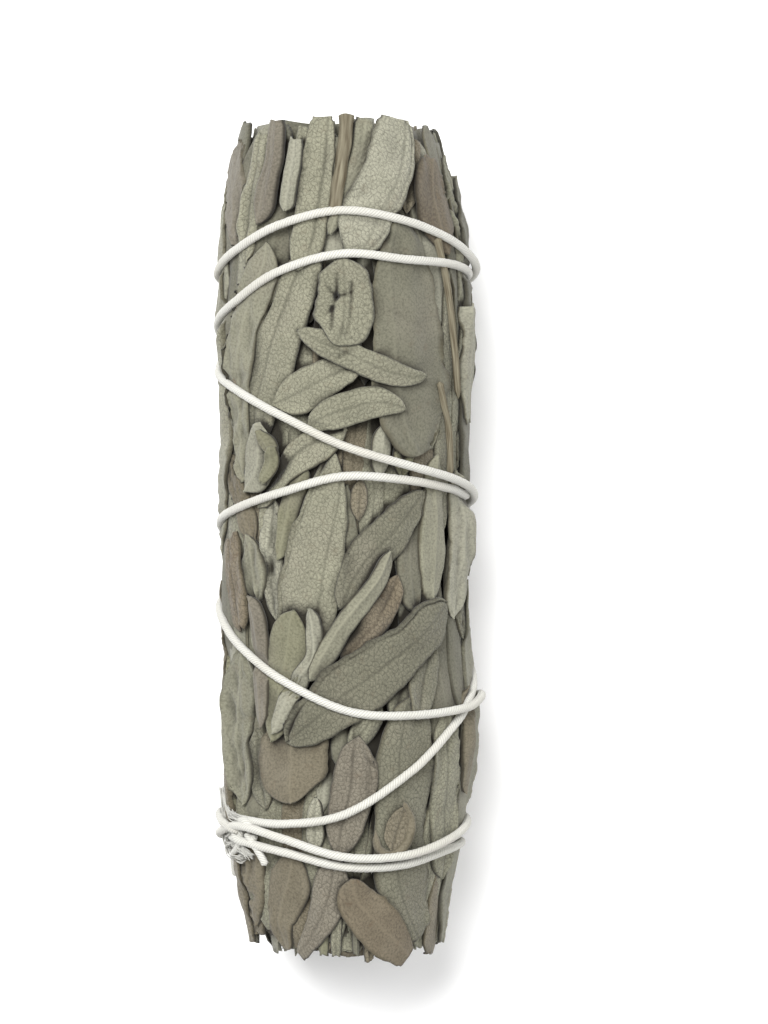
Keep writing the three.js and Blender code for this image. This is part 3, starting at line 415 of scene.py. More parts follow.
class Relief:
    """How far out the bundle reaches, over the angle round it and y."""

    def __init__(self):
        self.rows = int(2 * MAP_END / MAP_STEP)
        self.columns = int(2 * math.pi * ARC_RADIUS / MAP_STEP)
        y = (np.arange(self.rows) + 0.5) * MAP_STEP - MAP_END
        inside = np.where(np.abs(y) < CORE_END - 1, bundle_radius(y) - MAP_START, 3)
        self.height = np.repeat(inside[:, None], self.columns, axis=1)
        self.under_string = np.full_like(self.height, 99.0)
        self.around = self.height

    def cell(self, angle, y):
        row = np.clip(((y + MAP_END) / MAP_STEP).astype(int), 0, self.rows - 1)
        column = np.floor(angle / (2 * math.pi) * self.columns).astype(int) % self.columns
        return row, column

    def read(self, angle, y):
        return self.height[self.cell(angle, y)]

    def write(self, angle, y, radius):
        """Adds a sheet, with places between its points so that no cell is left out."""
        for down in (0, 0.5):
            for aside in (0, 0.25, 0.5, 0.75):
                between = []
                for values in (angle, y, radius):
                    mixed = values[:-1] * (1 - down) + values[1:] * down
                    between.append(mixed[:, :-1] * (1 - aside) + mixed[:, 1:] * aside)
                np.maximum.at(self.height, self.cell(*between[:2]), between[2])

    def press(self, angle, y, radius):
        """Keeps what is laid later under a string that passes here."""
        near = np.arange(-9, 10)
        row, column = self.cell(np.array([angle]), np.array([y]))
        rows = row[0] + near
        rows = rows[(rows >= 0) & (rows < self.rows)]
        columns = column[0] + near
        away = (((rows[:, None] + 0.5) * MAP_STEP - MAP_END - y) ** 2
                + ((columns[None, :] + 0.5) * MAP_STEP - angle * ARC_RADIUS) ** 2)
        place = np.ix_(rows, columns % self.columns)
        groove = radius - STRING_SINK + 0.36 * away
        self.under_string[place] = np.minimum(self.under_string[place], groove)

    def limit(self, angle, y):
        return self.under_string[self.cell(angle, y)]

    def finish(self):
        """Once all is laid: the mean height round each place, against which the painted crevice shade is
        measured.
        """
        self.around = blur(self.height, 24)

    def crevice(self, angle, y, radius):
        """How deep a point lies under its neighbours, from 0 to 1: how strong its painted crevice shade
        is.
        """
        return np.clip((self.around[self.cell(angle, y)] - radius) / CREVICE_DEPTH, 0, 1)


def blur(values, rounds):
    for _ in range(rounds):
        padded = np.pad(values, 1, mode="edge")
        values = (padded[:-2, 1:-1] + padded[2:, 1:-1] + padded[1:-1, :-2] + padded[1:-1, 2:]
                  + 2 * padded[1:-1, 1:-1]) / 6
    return values


def floor_limit(angle, gap):
    """The largest radius that stays over the surface the bundle rests on."""
    return (AXIS_HEIGHT - gap) / np.maximum(0.01, -np.cos(angle))


# Meshes

@dataclass
class Piece:
    """Points, faces, and for each point its place on the surface and round the bundle."""
    points: np.ndarray
    faces: np.ndarray
    flat: np.ndarray
    edge: np.ndarray
    mood: float
    material: bpy.types.Material
    deep: np.ndarray = None  # how deep each point lies, where the map of the relief can't tell; it sets the painted shade
    groove: np.ndarray = 0.0  # how strong the painted shade in its own grooves and creases is


def sheet_faces(rows, columns):
    """Faces of a closed sheet: its top grid, its bottom grid and the four edges."""
    top = np.arange(rows * columns).reshape(rows, columns)
    low = top + rows * columns
    quads = [
        (top[:-1, :-1], top[:-1, 1:], top[1:, 1:], top[1:, :-1]),
        (low[:-1, :-1], low[1:, :-1], low[1:, 1:], low[:-1, 1:]),
        (top[:-1, 0], top[1:, 0], low[1:, 0], low[:-1, 0]),
        (top[1:, -1], top[:-1, -1], low[:-1, -1], low[1:, -1]),
        (top[0, :-1], low[0, :-1], low[0, 1:], top[0, 1:]),
        (top[-1, 1:], low[-1, 1:], low[-1, :-1], top[-1, :-1]),
    ]
    return np.vstack([np.stack([side.ravel() for side in quad], axis=-1) for quad in quads])


def tube_faces(rows, sides):
    ring = np.arange(rows * sides).reshape(rows, sides)
    following = np.roll(ring, -1, axis=1)
    quads = np.stack([ring[:-1], following[:-1], following[1:], ring[1:]], axis=-1)
    return quads.reshape(-1, 4)


def shades(piece, relief):
    """For each point: the leaf's own tone, how near an edge it is, and how strong its painted shade is,
    from how deep it lies and from its own grooves.
    """
    x, y, z = piece.points.T
    across, up = x - axis_x(y), z - AXIS_HEIGHT
    depth = piece.deep
    if depth is None:
        depth = relief.crevice(np.arctan2(across, up), y, np.hypot(across, up))
    depth = np.maximum(depth, piece.groove)
    one = np.ones(len(piece.points))
    return np.stack([piece.mood * one, piece.edge, depth, one], axis=-1)


def make_object(name, parts, node, relief):
    """One object of several parts, in place of a node."""
    offsets = np.cumsum([0] + [len(part.points) for part in parts[:-1]])
    points = np.vstack([part.points for part in parts]) / 1000
    faces = np.vstack([part.faces + start for part, start in zip(parts, offsets)])
    mesh = bpy.data.meshes.new(name)
    mesh.vertices.add(len(points))
    mesh.vertices.foreach_set("co", points.ravel())
    mesh.loops.add(faces.size)
    mesh.loops.foreach_set("vertex_index", faces.ravel().astype(np.int32))
    mesh.polygons.add(len(faces))
    mesh.polygons.foreach_set("loop_start", np.arange(0, faces.size, 4, dtype=np.int32))
    mesh.polygons.foreach_set("use_smooth", np.ones(len(faces), bool))
    materials = list(dict.fromkeys(part.material for part in parts))
    for material in materials:
        mesh.materials.append(material)
    used = [np.full(len(part.faces), materials.index(part.material)) for part in parts]
    mesh.polygons.foreach_set("material_index", np.concatenate(used).astype(np.int32))
    mesh.update(calc_edges=True)
    corners = np.vstack([part.flat for part in parts])[faces.ravel()] / UV_SCALE
    mesh.uv_layers.new(name="place").data.foreach_set("uv", corners.ravel())
    shade = np.vstack([shades(part, relief) for part in parts])
    mesh.color_attributes.new("shade", "FLOAT_COLOR", "POINT").data.foreach_set(
        "color", shade.ravel())
    made = bpy.data.objects.new(name, mesh)
    bpy.context.scene.collection.objects.link(made)
    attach(made, "root")
    if node:
        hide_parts(node)


# Leaves

def section_of(leaf, halves):
    """Across a leaf at each section: place, drop, and distance along the leaf's surface."""
    sides = []
    flat_points, roll_points = leaf.points
    for half, curl in zip(halves, leaf.curl):
        radius = np.minimum(leaf.roll, 0.8 * half)[:, None]
        middle = half[:, None] - radius
        flat = np.linspace(0, 1, flat_points)[None, :] * middle
        turn = np.radians(curl) * np.linspace(0, 1, roll_points + 1)[None, 1:]
        across = np.hstack([flat, middle + radius * np.sin(turn)])
        drop = np.hstack([0 * flat, radius * (1 - np.cos(turn))])
        surface = np.hstack([flat, middle + radius * turn])
        sides.append((across, drop, surface))
    left, right = sides
    return [np.hstack([sign * a[:, :0:-1], b]) for a, b, sign in zip(left, right, (-1, 1, -1))]


def leaf_halves(leaf, line, length):
    """Left and right half widths along the leaf, uneven and rounded off at its ends."""
    half = np.maximum(0.25, line[:, 2] / 2)
    for end, place in ((0, length), (1, length[-1] - length)):
        blunt = leaf.torn[end] or abs(line[-end, 1]) > CUT_FROM
        reach = 0.7 if blunt else max(0.7, 2.2 * leaf.point * half[-end])
        share = np.clip(place / reach, 0, 1)
        half = half * np.maximum(0.8 if blunt else 0.02, 1 - (1 - share) ** 2) ** leaf.point
    return [half * (1 + 0.07 * waves(length, 0, 4, leaf.seed + side)
                    + 0.03 * waves(length, 0, 1, leaf.seed + side)) for side in (7, 8)]


def settle(wanted, needed):
    """A stiff sheet that stays over what it lies on."""
    height = np.maximum(wanted, needed)
    for _ in range(4):
        height = np.maximum(blur(height, 3), needed)
    return blur(height, 1)


@dataclass
class Pattern:
    """A leaf's points: sections along it, and points across each of them."""
    angle: np.ndarray
    y: np.ndarray
    across: np.ndarray  # distance from the middle line, seen from outside
    surface: np.ndarray  # the same distance along the leaf's surface
    drop: np.ndarray  # how far its edges roll down
    along: np.ndarray  # distance from its first end
    half: np.ndarray  # half its width
    length: float


def leaf_pattern(leaf):
    """The places of a leaf's points, bent round the bundle."""
    line = smooth_line(leaf.spine, step=leaf.step)
    length = line_length(line[:, :2])
    halves = leaf_halves(leaf, line, length)
    direction = unit(np.gradient(line[:, :2], axis=0))
    across, drop, surface = section_of(leaf, halves)
    along = length[:, None] + 0 * across
    half = ((halves[0] + halves[1]) / 2)[:, None]
    y = line[:, 1:2] - direction[:, :1] * across
    y = tear(leaf, y, along, length[-1], across, direction)
    angle = line[:, :1] / ARC_RADIUS + direction[:, 1:] * across / bundle_radius(y)
    return Pattern(angle, y, across, surface, drop, along, half, length[-1])


def leaf_relief(leaf, pattern):
    """Unevenness of a leaf: bumps, wrinkles along it and a fold."""
    across, along = pattern.across, pattern.along
    height = leaf.wave * waves(across, along, BUMP_SIZE, leaf.seed)
    height = height + 0.8 * leaf.wave * waves(across, 0.2 * along, WRINKLE_SIZE, leaf.seed + 50)
    share = (across - leaf.vein) / np.maximum(0.3, pattern.half)
    return height + leaf.fold * hill(share, FOLD_WIDTH) - 0.25 * share ** 2


def leaf_detail(leaf, pattern):
    """Sharp detail of a leaf: its middle vein, grooves behind its rims, and creases."""
    across, along = pattern.across, pattern.along
    ridge = 0.1 if leaf.side == "felt" else -0.09
    height = ridge * hill(across - leaf.vein, VEIN_WIDTH)
    for depth, side in zip(leaf.rims, (-1, 1)):
        height = height - depth * hill(pattern.half - side * across - RIM_PLACE, RIM_WIDTH)
    for x0, y0, x1, y1, depth in leaf.creases:
        run = (x1 - x0) ** 2 + (y1 - y0) ** 2
        t = np.clip(((across - x0) * (x1 - x0) + (along - y0) * (y1 - y0)) / run, 0, 1)
        away = (across - x0 - t * (x1 - x0)) ** 2 + (along - y0 - t * (y1 - y0)) ** 2
        height = height - depth * (1 - 0.5 * t) * np.exp(-away / 0.06)
    return height


def tear(leaf, y, along, length, across, direction):
    """Uneven ends: the last sections of a torn leaf lie further in or out."""
    for end, place in ((0, along), (1, length - along)):
        near = np.exp(-place / 0.8)
        cut = 0.25 * (abs(leaf.spine[-end][1]) > CUT_FROM)
        jag = max(cut, leaf.torn[end]) * waves(across, 0, 0.9, leaf.seed + 20 + end)
        y = y + near * jag * (1 - 2 * end) * direction[:, 1:]
    return y


def gap_depth(angle, y):
    """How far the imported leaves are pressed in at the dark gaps."""
    depth = 0
    for gap_x, gap_y, radius in GAPS:
        aside = (angle - angle_seen_at(gap_x, gap_y)) * ARC_RADIUS
        depth = depth + GAP_DEPTH * hill(np.hypot(aside, y - gap_y), radius)
    return depth


def sheet_height(leaf, pattern, relief):
    """How far out a leaf lies: over what has been laid, and under the string."""
    angle, y = pattern.angle, pattern.y
    sink = SINK[leaf.layer]
    if leaf.layer == "under":
        from_top = np.abs(np.arctan2(np.sin(angle), np.cos(angle)))
        beside = np.clip((from_top - 0.7) / 0.4, 0, 1)
        sink = sink + beside * (SIDE_SINK - sink) + gap_depth(angle, y)
    wanted = bundle_radius(y) - sink - 0.1 + leaf_relief(leaf, pattern)
    needed = relief.read(angle, y) + LEAF_THICKNESS + LAY_GAP
    height = settle(wanted, needed) + leaf_detail(leaf, pattern)
    for lift, from_end in zip(leaf.lift, (pattern.along, pattern.length - pattern.along)):
        height = height + lift * np.exp(-from_end / 2)
    height = np.minimum(height, relief.limit(angle, y))
    return np.minimum(height, floor_limit(angle, LEAF_FLOOR_GAP))


def lay_leaf(leaf, relief, materials):
    """The fine sheet of one leaf, laid on what the relief holds, and added to it."""
    pattern = leaf_pattern(leaf)
    angle, y = pattern.angle, pattern.y
    height = sheet_height(leaf, pattern, relief)
    lowest = np.minimum(height, relief.read(angle, y) + 0.1)
    radius = np.maximum(height - pattern.drop, lowest)
    top = on_bundle(angle, y, radius)
    from_end = np.arange(len(top)) / 3
    thin = np.clip(np.minimum(from_end, from_end[::-1]), 0.5, 1)[:, None, None]
    bottom = top - LEAF_THICKNESS * thin * surface_normals(top)
    relief.write(angle, y, radius)
    edge = np.abs(pattern.surface) / np.maximum(0.3, pattern.half)
    piece = sheet_piece(top, bottom, pattern.surface - leaf.vein, pattern.along, edge, leaf.seed,
                        materials[leaf.tone, leaf.side])
    # Painted shade in the leaf's own grooves and creases
    groove = np.clip(-2.2 * leaf_detail(leaf, pattern) - 0.25, 0, 0.8).ravel()
    piece.groove = np.tile(groove, 2)
    return piece


def surface_normals(grid):
    normal = np.cross(np.gradient(grid, axis=1), np.gradient(grid, axis=0))
    return normal / np.maximum(1e-9, np.linalg.norm(normal, axis=-1))[..., None]


def sheet_piece(top, bottom, surface, along, edge, seed, material):
    rows, columns = top.shape[:2]
    flat = flat_places(surface + VEIN_AT, along + LEAVES_APART * (seed % 41))
    points = np.vstack([top.reshape(-1, 3), bottom.reshape(-1, 3)])
    points[:, 2] = np.maximum(points[:, 2], 0.01)
    return Piece(points, sheet_faces(rows, columns), np.tile(flat, (2, 1)),
                 np.tile(edge.ravel(), 2), scatter(seed, 31), material)


def wrap_spine(seen):
    """The middle line of a front leaf, from its seen place to its place round the bundle."""
    wrapped = []
    for x, y, width in seen:
        angle = angle_seen_at(x, y)
        wrapped.append((angle * ARC_RADIUS, y, width / max(0.5, math.cos(angle))))
    return wrapped


def leaned_spine(arc, middle, length, width, lean, reach=48):
    spine = []
    for share, across in zip((-1, -0.45, 0.1, 0.6, 1), (0.35, 0.9, 1, 0.75, 0.2)):
        y = max(-reach, min(reach, middle + share * 0.5 * length))
        spine.append((arc + (y - middle) * lean, y, width * across))
    return spine


def front_leaves(wanted):
    """The leaves of one layer of the front, in the order of the table."""
    return [Leaf(name, layer, tone, wrap_spine(seen), 100 + i, **look)
            for i, (name, layer, tone, look, seen) in enumerate(FRONT_LEAVES)
            if layer == wanted]


def back_leaves():
    """The large leaves of the sides and the back, by the same rule as the solids."""
    columns, turn_between = 7, 31
    leaves = []
    for column in range(columns):
        for middle in ((-19, 27) if column % 2 else (-27, 19)):
            i = len(leaves)
            turn = (column - (columns - 1) / 2) * turn_between
            degrees = 180 + turn + 6 * (scatter(i, 21) - 0.5)
            length = 44 + 4 * scatter(i, 22)
            outer = column in (0, columns - 1)
            width = (10 if outer else 7.6) + 1.2 * scatter(i, 23)
            lean = 0.24 * (scatter(i, 24) - 0.5)
            arc = math.radians(degrees) * ARC_RADIUS
            spine = leaned_spine(arc, middle + 3 * (scatter(i, 25) - 0.5), length, width, lean)
            side = "felt" if scatter(i, 26) < 0.4 else "net"
            fold = 0.6 * (scatter(i, 27) - 0.6)
            leaves.append(Leaf(f"back_leaf_{i + 1}", "back", BACK_TONES[i % 5], spine, 200 + i,
                               side=side, fold=fold, wave=0.25))
    return leaves


def under_leaves():
    """Leaves packed just under the large ones, seen in the gaps between them."""
    leaves = []
    for column in range(UNDER_COLUMNS):
        for row in range(UNDER_ROWS):
            i = len(leaves)
            place = column + 0.5 * (row % 2) + 0.5 * scatter(i, 51)
            arc = place / UNDER_COLUMNS * 2 * math.pi * ARC_RADIUS
            middle = -37.5 + 25 * row + 8 * (scatter(i, 52) - 0.5)
            length = 31 + 8 * scatter(i, 53)
            width = 4.4 + 2.6 * scatter(i, 54)
            lean = 0.2 * (scatter(i, 55) - 0.5)
            spine = leaned_spine(arc, middle, length, width, lean, 46.4 + 3 * scatter(i, 56))
            tone = UNDER_TONES[i % 6]
            leaves.append(Leaf("under", "under", tone, spine, 300 + i, wave=0.3, step=1.4,
                               points=(3, 3), side="felt" if i % 2 else "net",
                               fold=0.8 * (scatter(i, 57) - 0.6)))
    return leaves


def low_leaves():
    leaves = [Leaf("low", "low", LOW_TONES[i % 5], wrap_spine(spine), 400 + i, roll=0.5,
                   side="felt" if i % 2 else "net", curl=(95, 95), fold=-0.2 * (i % 3))
              for i, spine in enumerate(LOW_FRONT_LEAVES)]
    leaves.append(Leaf("crumpled", "low", "green", wrap_spine(CRUMPLED), 440, wave=0.6,
                       fold=-0.3))
    return leaves


# Leaves and stems at the cut ends

def end_place(across, up, y, end):
    """A place in the cut end, bent unevenly and kept under the outer leaves."""
    x = across + 1.2 * waves(across, up, 4, 70 + end)
    z = up + 1.2 * waves(across, up, 4, 80 + end)
    limit = bundle_radius(y) - 1.1
    away = np.hypot(x, z)
    held = limit * np.tanh(1.5 * away / limit) / np.maximum(0.01, away)
    return np.stack(np.broadcast_arrays(x * held + axis_x(y), y, z * held + AXIS_HEIGHT), axis=-1)


def end_leaf(middle, radius, start, span, end, seed, material):
    """A leaf wrapped round a stem, cut off unevenly at the bundle's end."""
    columns = max(7, int(radius * span / 0.7))
    t = np.linspace(0, 1, columns)[None, :]
    v = np.linspace(0, 1, 6)[:, None]
    angle = start + span * t + 0.2 * v
    reach = END_REACH - END_UNEVEN * scatter(seed, 4) + 0.5 * waves(t * 5, 0, 2, seed)
    y = end * (END_ROOT + (reach - END_ROOT) * v)
    turn = radius * (1 + 0.12 * np.sin(2 * angle + seed)) + 0.15 * waves(angle * radius, 0, 2, seed)
    grids = []
    for inset in (0, LEAF_THICKNESS):
        across = middle[0] + (turn - inset) * np.cos(angle)
        up = middle[1] + (turn - inset) * np.sin(angle)
        grids.append(end_place(across, up, y, end))
    if end > 0:
        grids = [grid[:, ::-1] for grid in grids]
    along = np.abs(grids[0][..., 1]) - END_ROOT
    piece = sheet_piece(grids[0], grids[1], radius * angle, along, 0 * along, seed, material)
    # Painted shade, darker further into the cut end
    piece.deep = np.clip((48.2 - np.abs(piece.points[:, 1])) / 3.5, 0, 0.9)
    return piece


def end_pieces(end, materials, stem):
    """Sprigs side by side in the cut end, each a stem with leaves wrapped round it."""
    turns = np.arange(6) * math.pi / 3 + 0.3 * end
    middles = [(0, 0)] + [(SPRIGS_AWAY * math.cos(t), SPRIGS_AWAY * math.sin(t)) for t in turns]
    wraps = [(middle, radius) for middle in middles for radius in LEAF_TURNS]
    wraps += [((0, 0), radius) for radius in RIM_TURNS]
    pieces = []
    for middle, radius in wraps:
        parts = 2 if radius < 4 else 5
        for part in range(parts):
            seed = 500 + 200 * (end > 0) + len(pieces)
            share = part + 0.5 * scatter(seed, 5)
            span = 2 * math.pi / parts * (0.8 + 0.3 * scatter(seed, 6))
            tone = END_TONES[seed % 5]
            pieces.append(end_leaf(middle, radius, radius + 2 * math.pi * share / parts, span,
                                   end, seed, materials[tone, "felt"]))
    for i, middle in enumerate(middles):
        y = end * np.linspace(END_ROOT, 48.6 - 2 * scatter(i, 7), 8)
        path = end_place(middle[0], middle[1], y, end)
        pieces.append(rod_piece(path, 0.5 + 0.2 * scatter(i, 8), 9, 0.6, stem))
    return pieces


def core_piece(material):
    sides = 48
    y = np.concatenate([[-CORE_END], np.linspace(0.1 - CORE_END, CORE_END - 0.1, 28), [CORE_END]])[:, None]
    turn = round_turns(sides)
    radius = bundle_radius(y) - CORE_DEPTH + 0.1 * waves(turn * 12, y, 4, 3)
    radius[0] = radius[-1] = 0.5
    points = on_bundle(turn, y, radius).reshape(-1, 3)
    piece = Piece(points, tube_faces(len(y), sides)[:, ::-1], flat_places(turn * 12, y),
                  np.zeros(len(points)), 0.2, material)
    # Painted shade, nearly full all over the hidden core
    piece.deep = np.full(len(points), 0.9)
    return piece


# Stems and string

def rod_piece(path, radii, sides, mood, material):
    """A closed rod along a path; radii is one number for each section and side."""
    along = unit(np.gradient(path, axis=0))
    out = path - np.stack([axis_x(path[:, 1]), path[:, 1], 0 * path[:, 0] + AXIS_HEIGHT], axis=-1)
    side = unit(np.cross(along, out))
    up = np.cross(side, along)
    turn = round_turns(sides)
    radii = radii * np.ones((len(path), sides))
    ring = (path[:, None, :] - side[:, None, :] * (radii * np.cos(turn))[..., None]
            + up[:, None, :] * (radii * np.sin(turn))[..., None])
    for end in (0, -1):
        ring[end] = path[end] + (ring[end] - path[end]) * 0.05
    flat = flat_places(turn * ROUND_SCALE, line_length(path)[:, None])
    edge = (radii / radii.max()).ravel()
    return Piece(ring.reshape(-1, 3), tube_faces(len(path), sides), flat, edge, mood, material)


def stem_piece(seen, radius, seed, material, lift=0.0, taper=False):
    """A ridged stem with a broken end, half sunk between the leaves."""
    points = [on_bundle(angle_seen_at(x, y), y, bundle_radius(y) - radius + lift)
              for x, y in seen]
    path = smooth_line(points, step=0.3)
    turn = round_turns(14)
    along = line_length(path)[:, None]
    radii = radius * (1 + 0.08 * np.sin(4 * turn + seed) + 0.1 * waves(turn, along, 1.6, seed)
                      + 0.25 * np.exp(-along))
    radii = radii * np.clip((along[-1] - along) / 1.5 + 0.2, 0, 1)
    if taper:
        radii = radii * np.sqrt(np.sin(np.linspace(0.1, math.pi - 0.1, len(path))))[:, None]
    return rod_piece(path, radii, 14, scatter(seed, 31), material)


def string_point(degrees, y, lift):
    angle = np.radians(degrees)
    lowest = floor_limit(angle, STRING_RADIUS + STRING_FLOOR_GAP)
    return on_bundle(angle, y, np.minimum(bundle_radius(y) + STRING_RIDE + lift, lowest))


def string_places():
    """Places along the string, raised where it crosses an earlier turn."""
    flat = smooth_line([(degrees * DEGREE_ARC, y) for degrees, y in STRING_ROUTE], step=0.3)
    degrees, y = flat[:, 0] / DEGREE_ARC, flat[:, 1]
    lift = np.zeros(len(flat))
    apart = 80  # places this close along the string don't cross
    for i in range(apart, len(flat)):
        turn = (degrees[i] - degrees[:i - apart + 1] + 180) % 360 - 180
        distance = np.hypot(turn * DEGREE_ARC, y[i] - y[:i - apart + 1]).min()
        lift[i] = STRING_CROSSING * (1.25 - distance / 3)
    lift = np.clip(lift, 0, STRING_CROSSING)
    return degrees, y, np.convolve(lift, np.ones(9) / 9, mode="same")


def ply_radii(path, seed):
    """The string's plies: three ridges that turn round it."""
    length = line_length(path)[:, None]
    turn = round_turns(STRING_SIDES)
    twist = 2 * math.pi * length / PLY_TWIST
    ridge = np.abs(np.cos(1.5 * (turn + twist)))
    return STRING_RADIUS * (0.88 + 0.1 * ridge + 0.035 * waves(turn, length, 0.8, 5 + seed))


def knot_path():
    """One loop of the string, standing over the windings."""
    knot_turn, knot_y = KNOT_PLACE
    wide, high = KNOT_SIZE
    turn = np.linspace(0, 1.9 * math.pi, 40)
    aside = np.degrees(wide * np.cos(turn) / ARC_RADIUS)
    height = 0.35 + 0.3 * np.sin(turn * 2)
    return string_point(knot_turn + aside, knot_y + high * np.sin(turn), height)


def string_pieces(material):
    paths = [(string_point(*string_places()), 1.0), (knot_path(), 1.0)]
    for end in LOOSE_ENDS:
        flat = smooth_line(end, step=0.5)
        paths.append((string_point(flat[:, 0], flat[:, 1], 0.3), 0.9))
    pieces = [rod_piece(path, ply_radii(path, i) * size, STRING_SIDES, 0.5, material)
              for i, (path, size) in enumerate(paths)]
    for i, strand in enumerate(TANGLE):
        pieces += frayed_strand(strand, i, material)
    return pieces


def strand_path(strand, step, lift):
    """The path of a strand given as degrees and y."""
    flat = smooth_line([(degrees * DEGREE_ARC, y) for degrees, y in strand], step=step)
    return string_point(flat[:, 0] / DEGREE_ARC, flat[:, 1], lift)


def frayed_strand(strand, seed, material):
    """A strand that has come apart into thin yarns."""
    pieces = []
    middle = strand_path(strand, 0.4, 0.3)
    length = line_length(middle)
    for yarn in range(YARNS):
        drift = [0.5 * waves(length, 0, 3.5, 40 * seed + yarn + 200 * axis) for axis in range(3)]
        path = middle + np.stack(drift, axis=-1) * (1, 1, 0.4)
        pieces.append(rod_piece(path, 0.075, 4, 0.5, material))
    return pieces


def fibre_pieces(material):
    """Short loose fibres that stand off the string."""
    degrees, y, lift = string_places()
    rng = np.random.default_rng(9)
    pieces = []
    for _ in range(FIBRES):
        i = rng.integers(4, len(degrees) - 4)
        start = string_point(degrees[i:i + 1], y[i:i + 1], lift[i:i + 1])[0]
        out = unit(start - np.array([axis_x(start[1]), start[1], AXIS_HEIGHT]))
        lean = unit(0.6 * out + rng.uniform(-1, 1, 3))
        t = np.linspace(0, 1, 4)[:, None]
        bend = rng.uniform(-0.2, 0.2, 3) * t ** 2
        path = start + 0.4 * lean + (lean * t + bend) * rng.uniform(0.2, 0.5)
        if path[:, 2].min() > 0.05:
            pieces.append(rod_piece(path, 0.02 * (1.1 - t), 3, 0.5, material))
    return pieces


# Materials

TONES = {
    "grey": ((0.094, 0.090, 0.063), (0.150, 0.145, 0.105)),
    "green": ((0.142, 0.138, 0.098), (0.230, 0.224, 0.163)),
    "olive": ((0.122, 0.118, 0.072), (0.186, 0.181, 0.119)),
    "tan": ((0.100, 0.085, 0.055), (0.166, 0.146, 0.102)),
    "brown": ((0.080, 0.063, 0.040), (0.158, 0.132, 0.090)),
    "pale": ((0.184, 0.180, 0.135), (0.280, 0.274, 0.212)),
    "pink": ((0.115, 0.101, 0.076), (0.178, 0.162, 0.126)),
}
FELT_SHADE = 0.84  # how much darker the felt side is than the net side
# Near-black painted shade for crevices, rolled-under edges, grooves, creases and the inside of the cut
# ends
PAINTED_CREVICE_SHADE = (0.010, 0.008, 0.004, 1)
DRY_SPOT = (0.085, 0.056, 0.032, 1)
YELLOW_EDGE = (0.245, 0.212, 0.118, 1)


class Nodes:
    """Adds shader nodes one after another."""

    def __init__(self, name, roughness):
        self.material = bpy.data.materials.new(name)
        self.material.use_nodes = True
        self.tree = self.material.node_tree
        self.shader = self.tree.nodes["Principled BSDF"]
        self.shader.inputs["Roughness"].default_value = roughness
        self.shader.inputs["Specular IOR Level"].default_value = 0.25

    def add(self, kind, inputs=(), **settings):
        node = self.tree.nodes.new(kind)
        for key, value in settings.items():
            setattr(node, key, value)
        for key, value in dict(inputs).items():
            if isinstance(value, bpy.types.NodeSocket):
                self.tree.links.new(value, node.inputs[key])
            else:
                node.inputs[key].default_value = value
        return node

    def place(self):
        return self.add("ShaderNodeUVMap", uv_map="place").outputs["UV"]

    def shade(self):
        colour = self.add("ShaderNodeAttribute", attribute_name="shade").outputs["Color"]
        return self.add("ShaderNodeSeparateColor", {0: colour}).outputs

    def math(self, operation, a, b=0.0, c=0.0):
        return self.add("ShaderNodeMath", {0: a, 1: b, 2: c}, operation=operation).outputs[0]

    def ramp(self, value, low, high, start=0.0, stop=1.0):
        node = self.add("ShaderNodeMapRange", {"Value": value, "From Min": low, "From Max": high,
                                               "To Min": start, "To Max": stop})
        return node.outputs["Result"]

    def mix(self, share, a, b):
        return self.add("ShaderNodeMix", {0: share, 6: a, 7: b}, data_type="RGBA").outputs[2]

    def noise(self, vector, scale, detail=3.0):
        return self.add("ShaderNodeTexNoise", {"Vector": vector, "Scale": scale,
                                               "Detail": detail}).outputs["Fac"]

    def apart(self, a, b):
        return self.math("ABSOLUTE", self.math("SUBTRACT", a, b))

    def cells(self, vector, scale):
        """Distance to the nearest line of a net of cells."""
        node = self.add("ShaderNodeTexVoronoi", {"Vector": vector, "Scale": scale},
                        voronoi_dimensions="2D", feature="DISTANCE_TO_EDGE")
        return node.outputs["Distance"]

    def bump(self, height, strength, distance):
        made = self.add("ShaderNodeBump", {"Height": height, "Strength": strength,
                                           "Distance": distance})
        self.tree.links.new(made.outputs["Normal"], self.shader.inputs["Normal"])

    def sheen(self, weight, roughness=0.5):
        self.shader.inputs["Sheen Weight"].default_value = weight
        self.shader.inputs["Sheen Roughness"].default_value = roughness

    def colour(self, socket):
        self.tree.links.new(socket, self.shader.inputs["Base Color"])


def scaled(colour, share):
    return tuple(share * value for value in colour) + (1,)


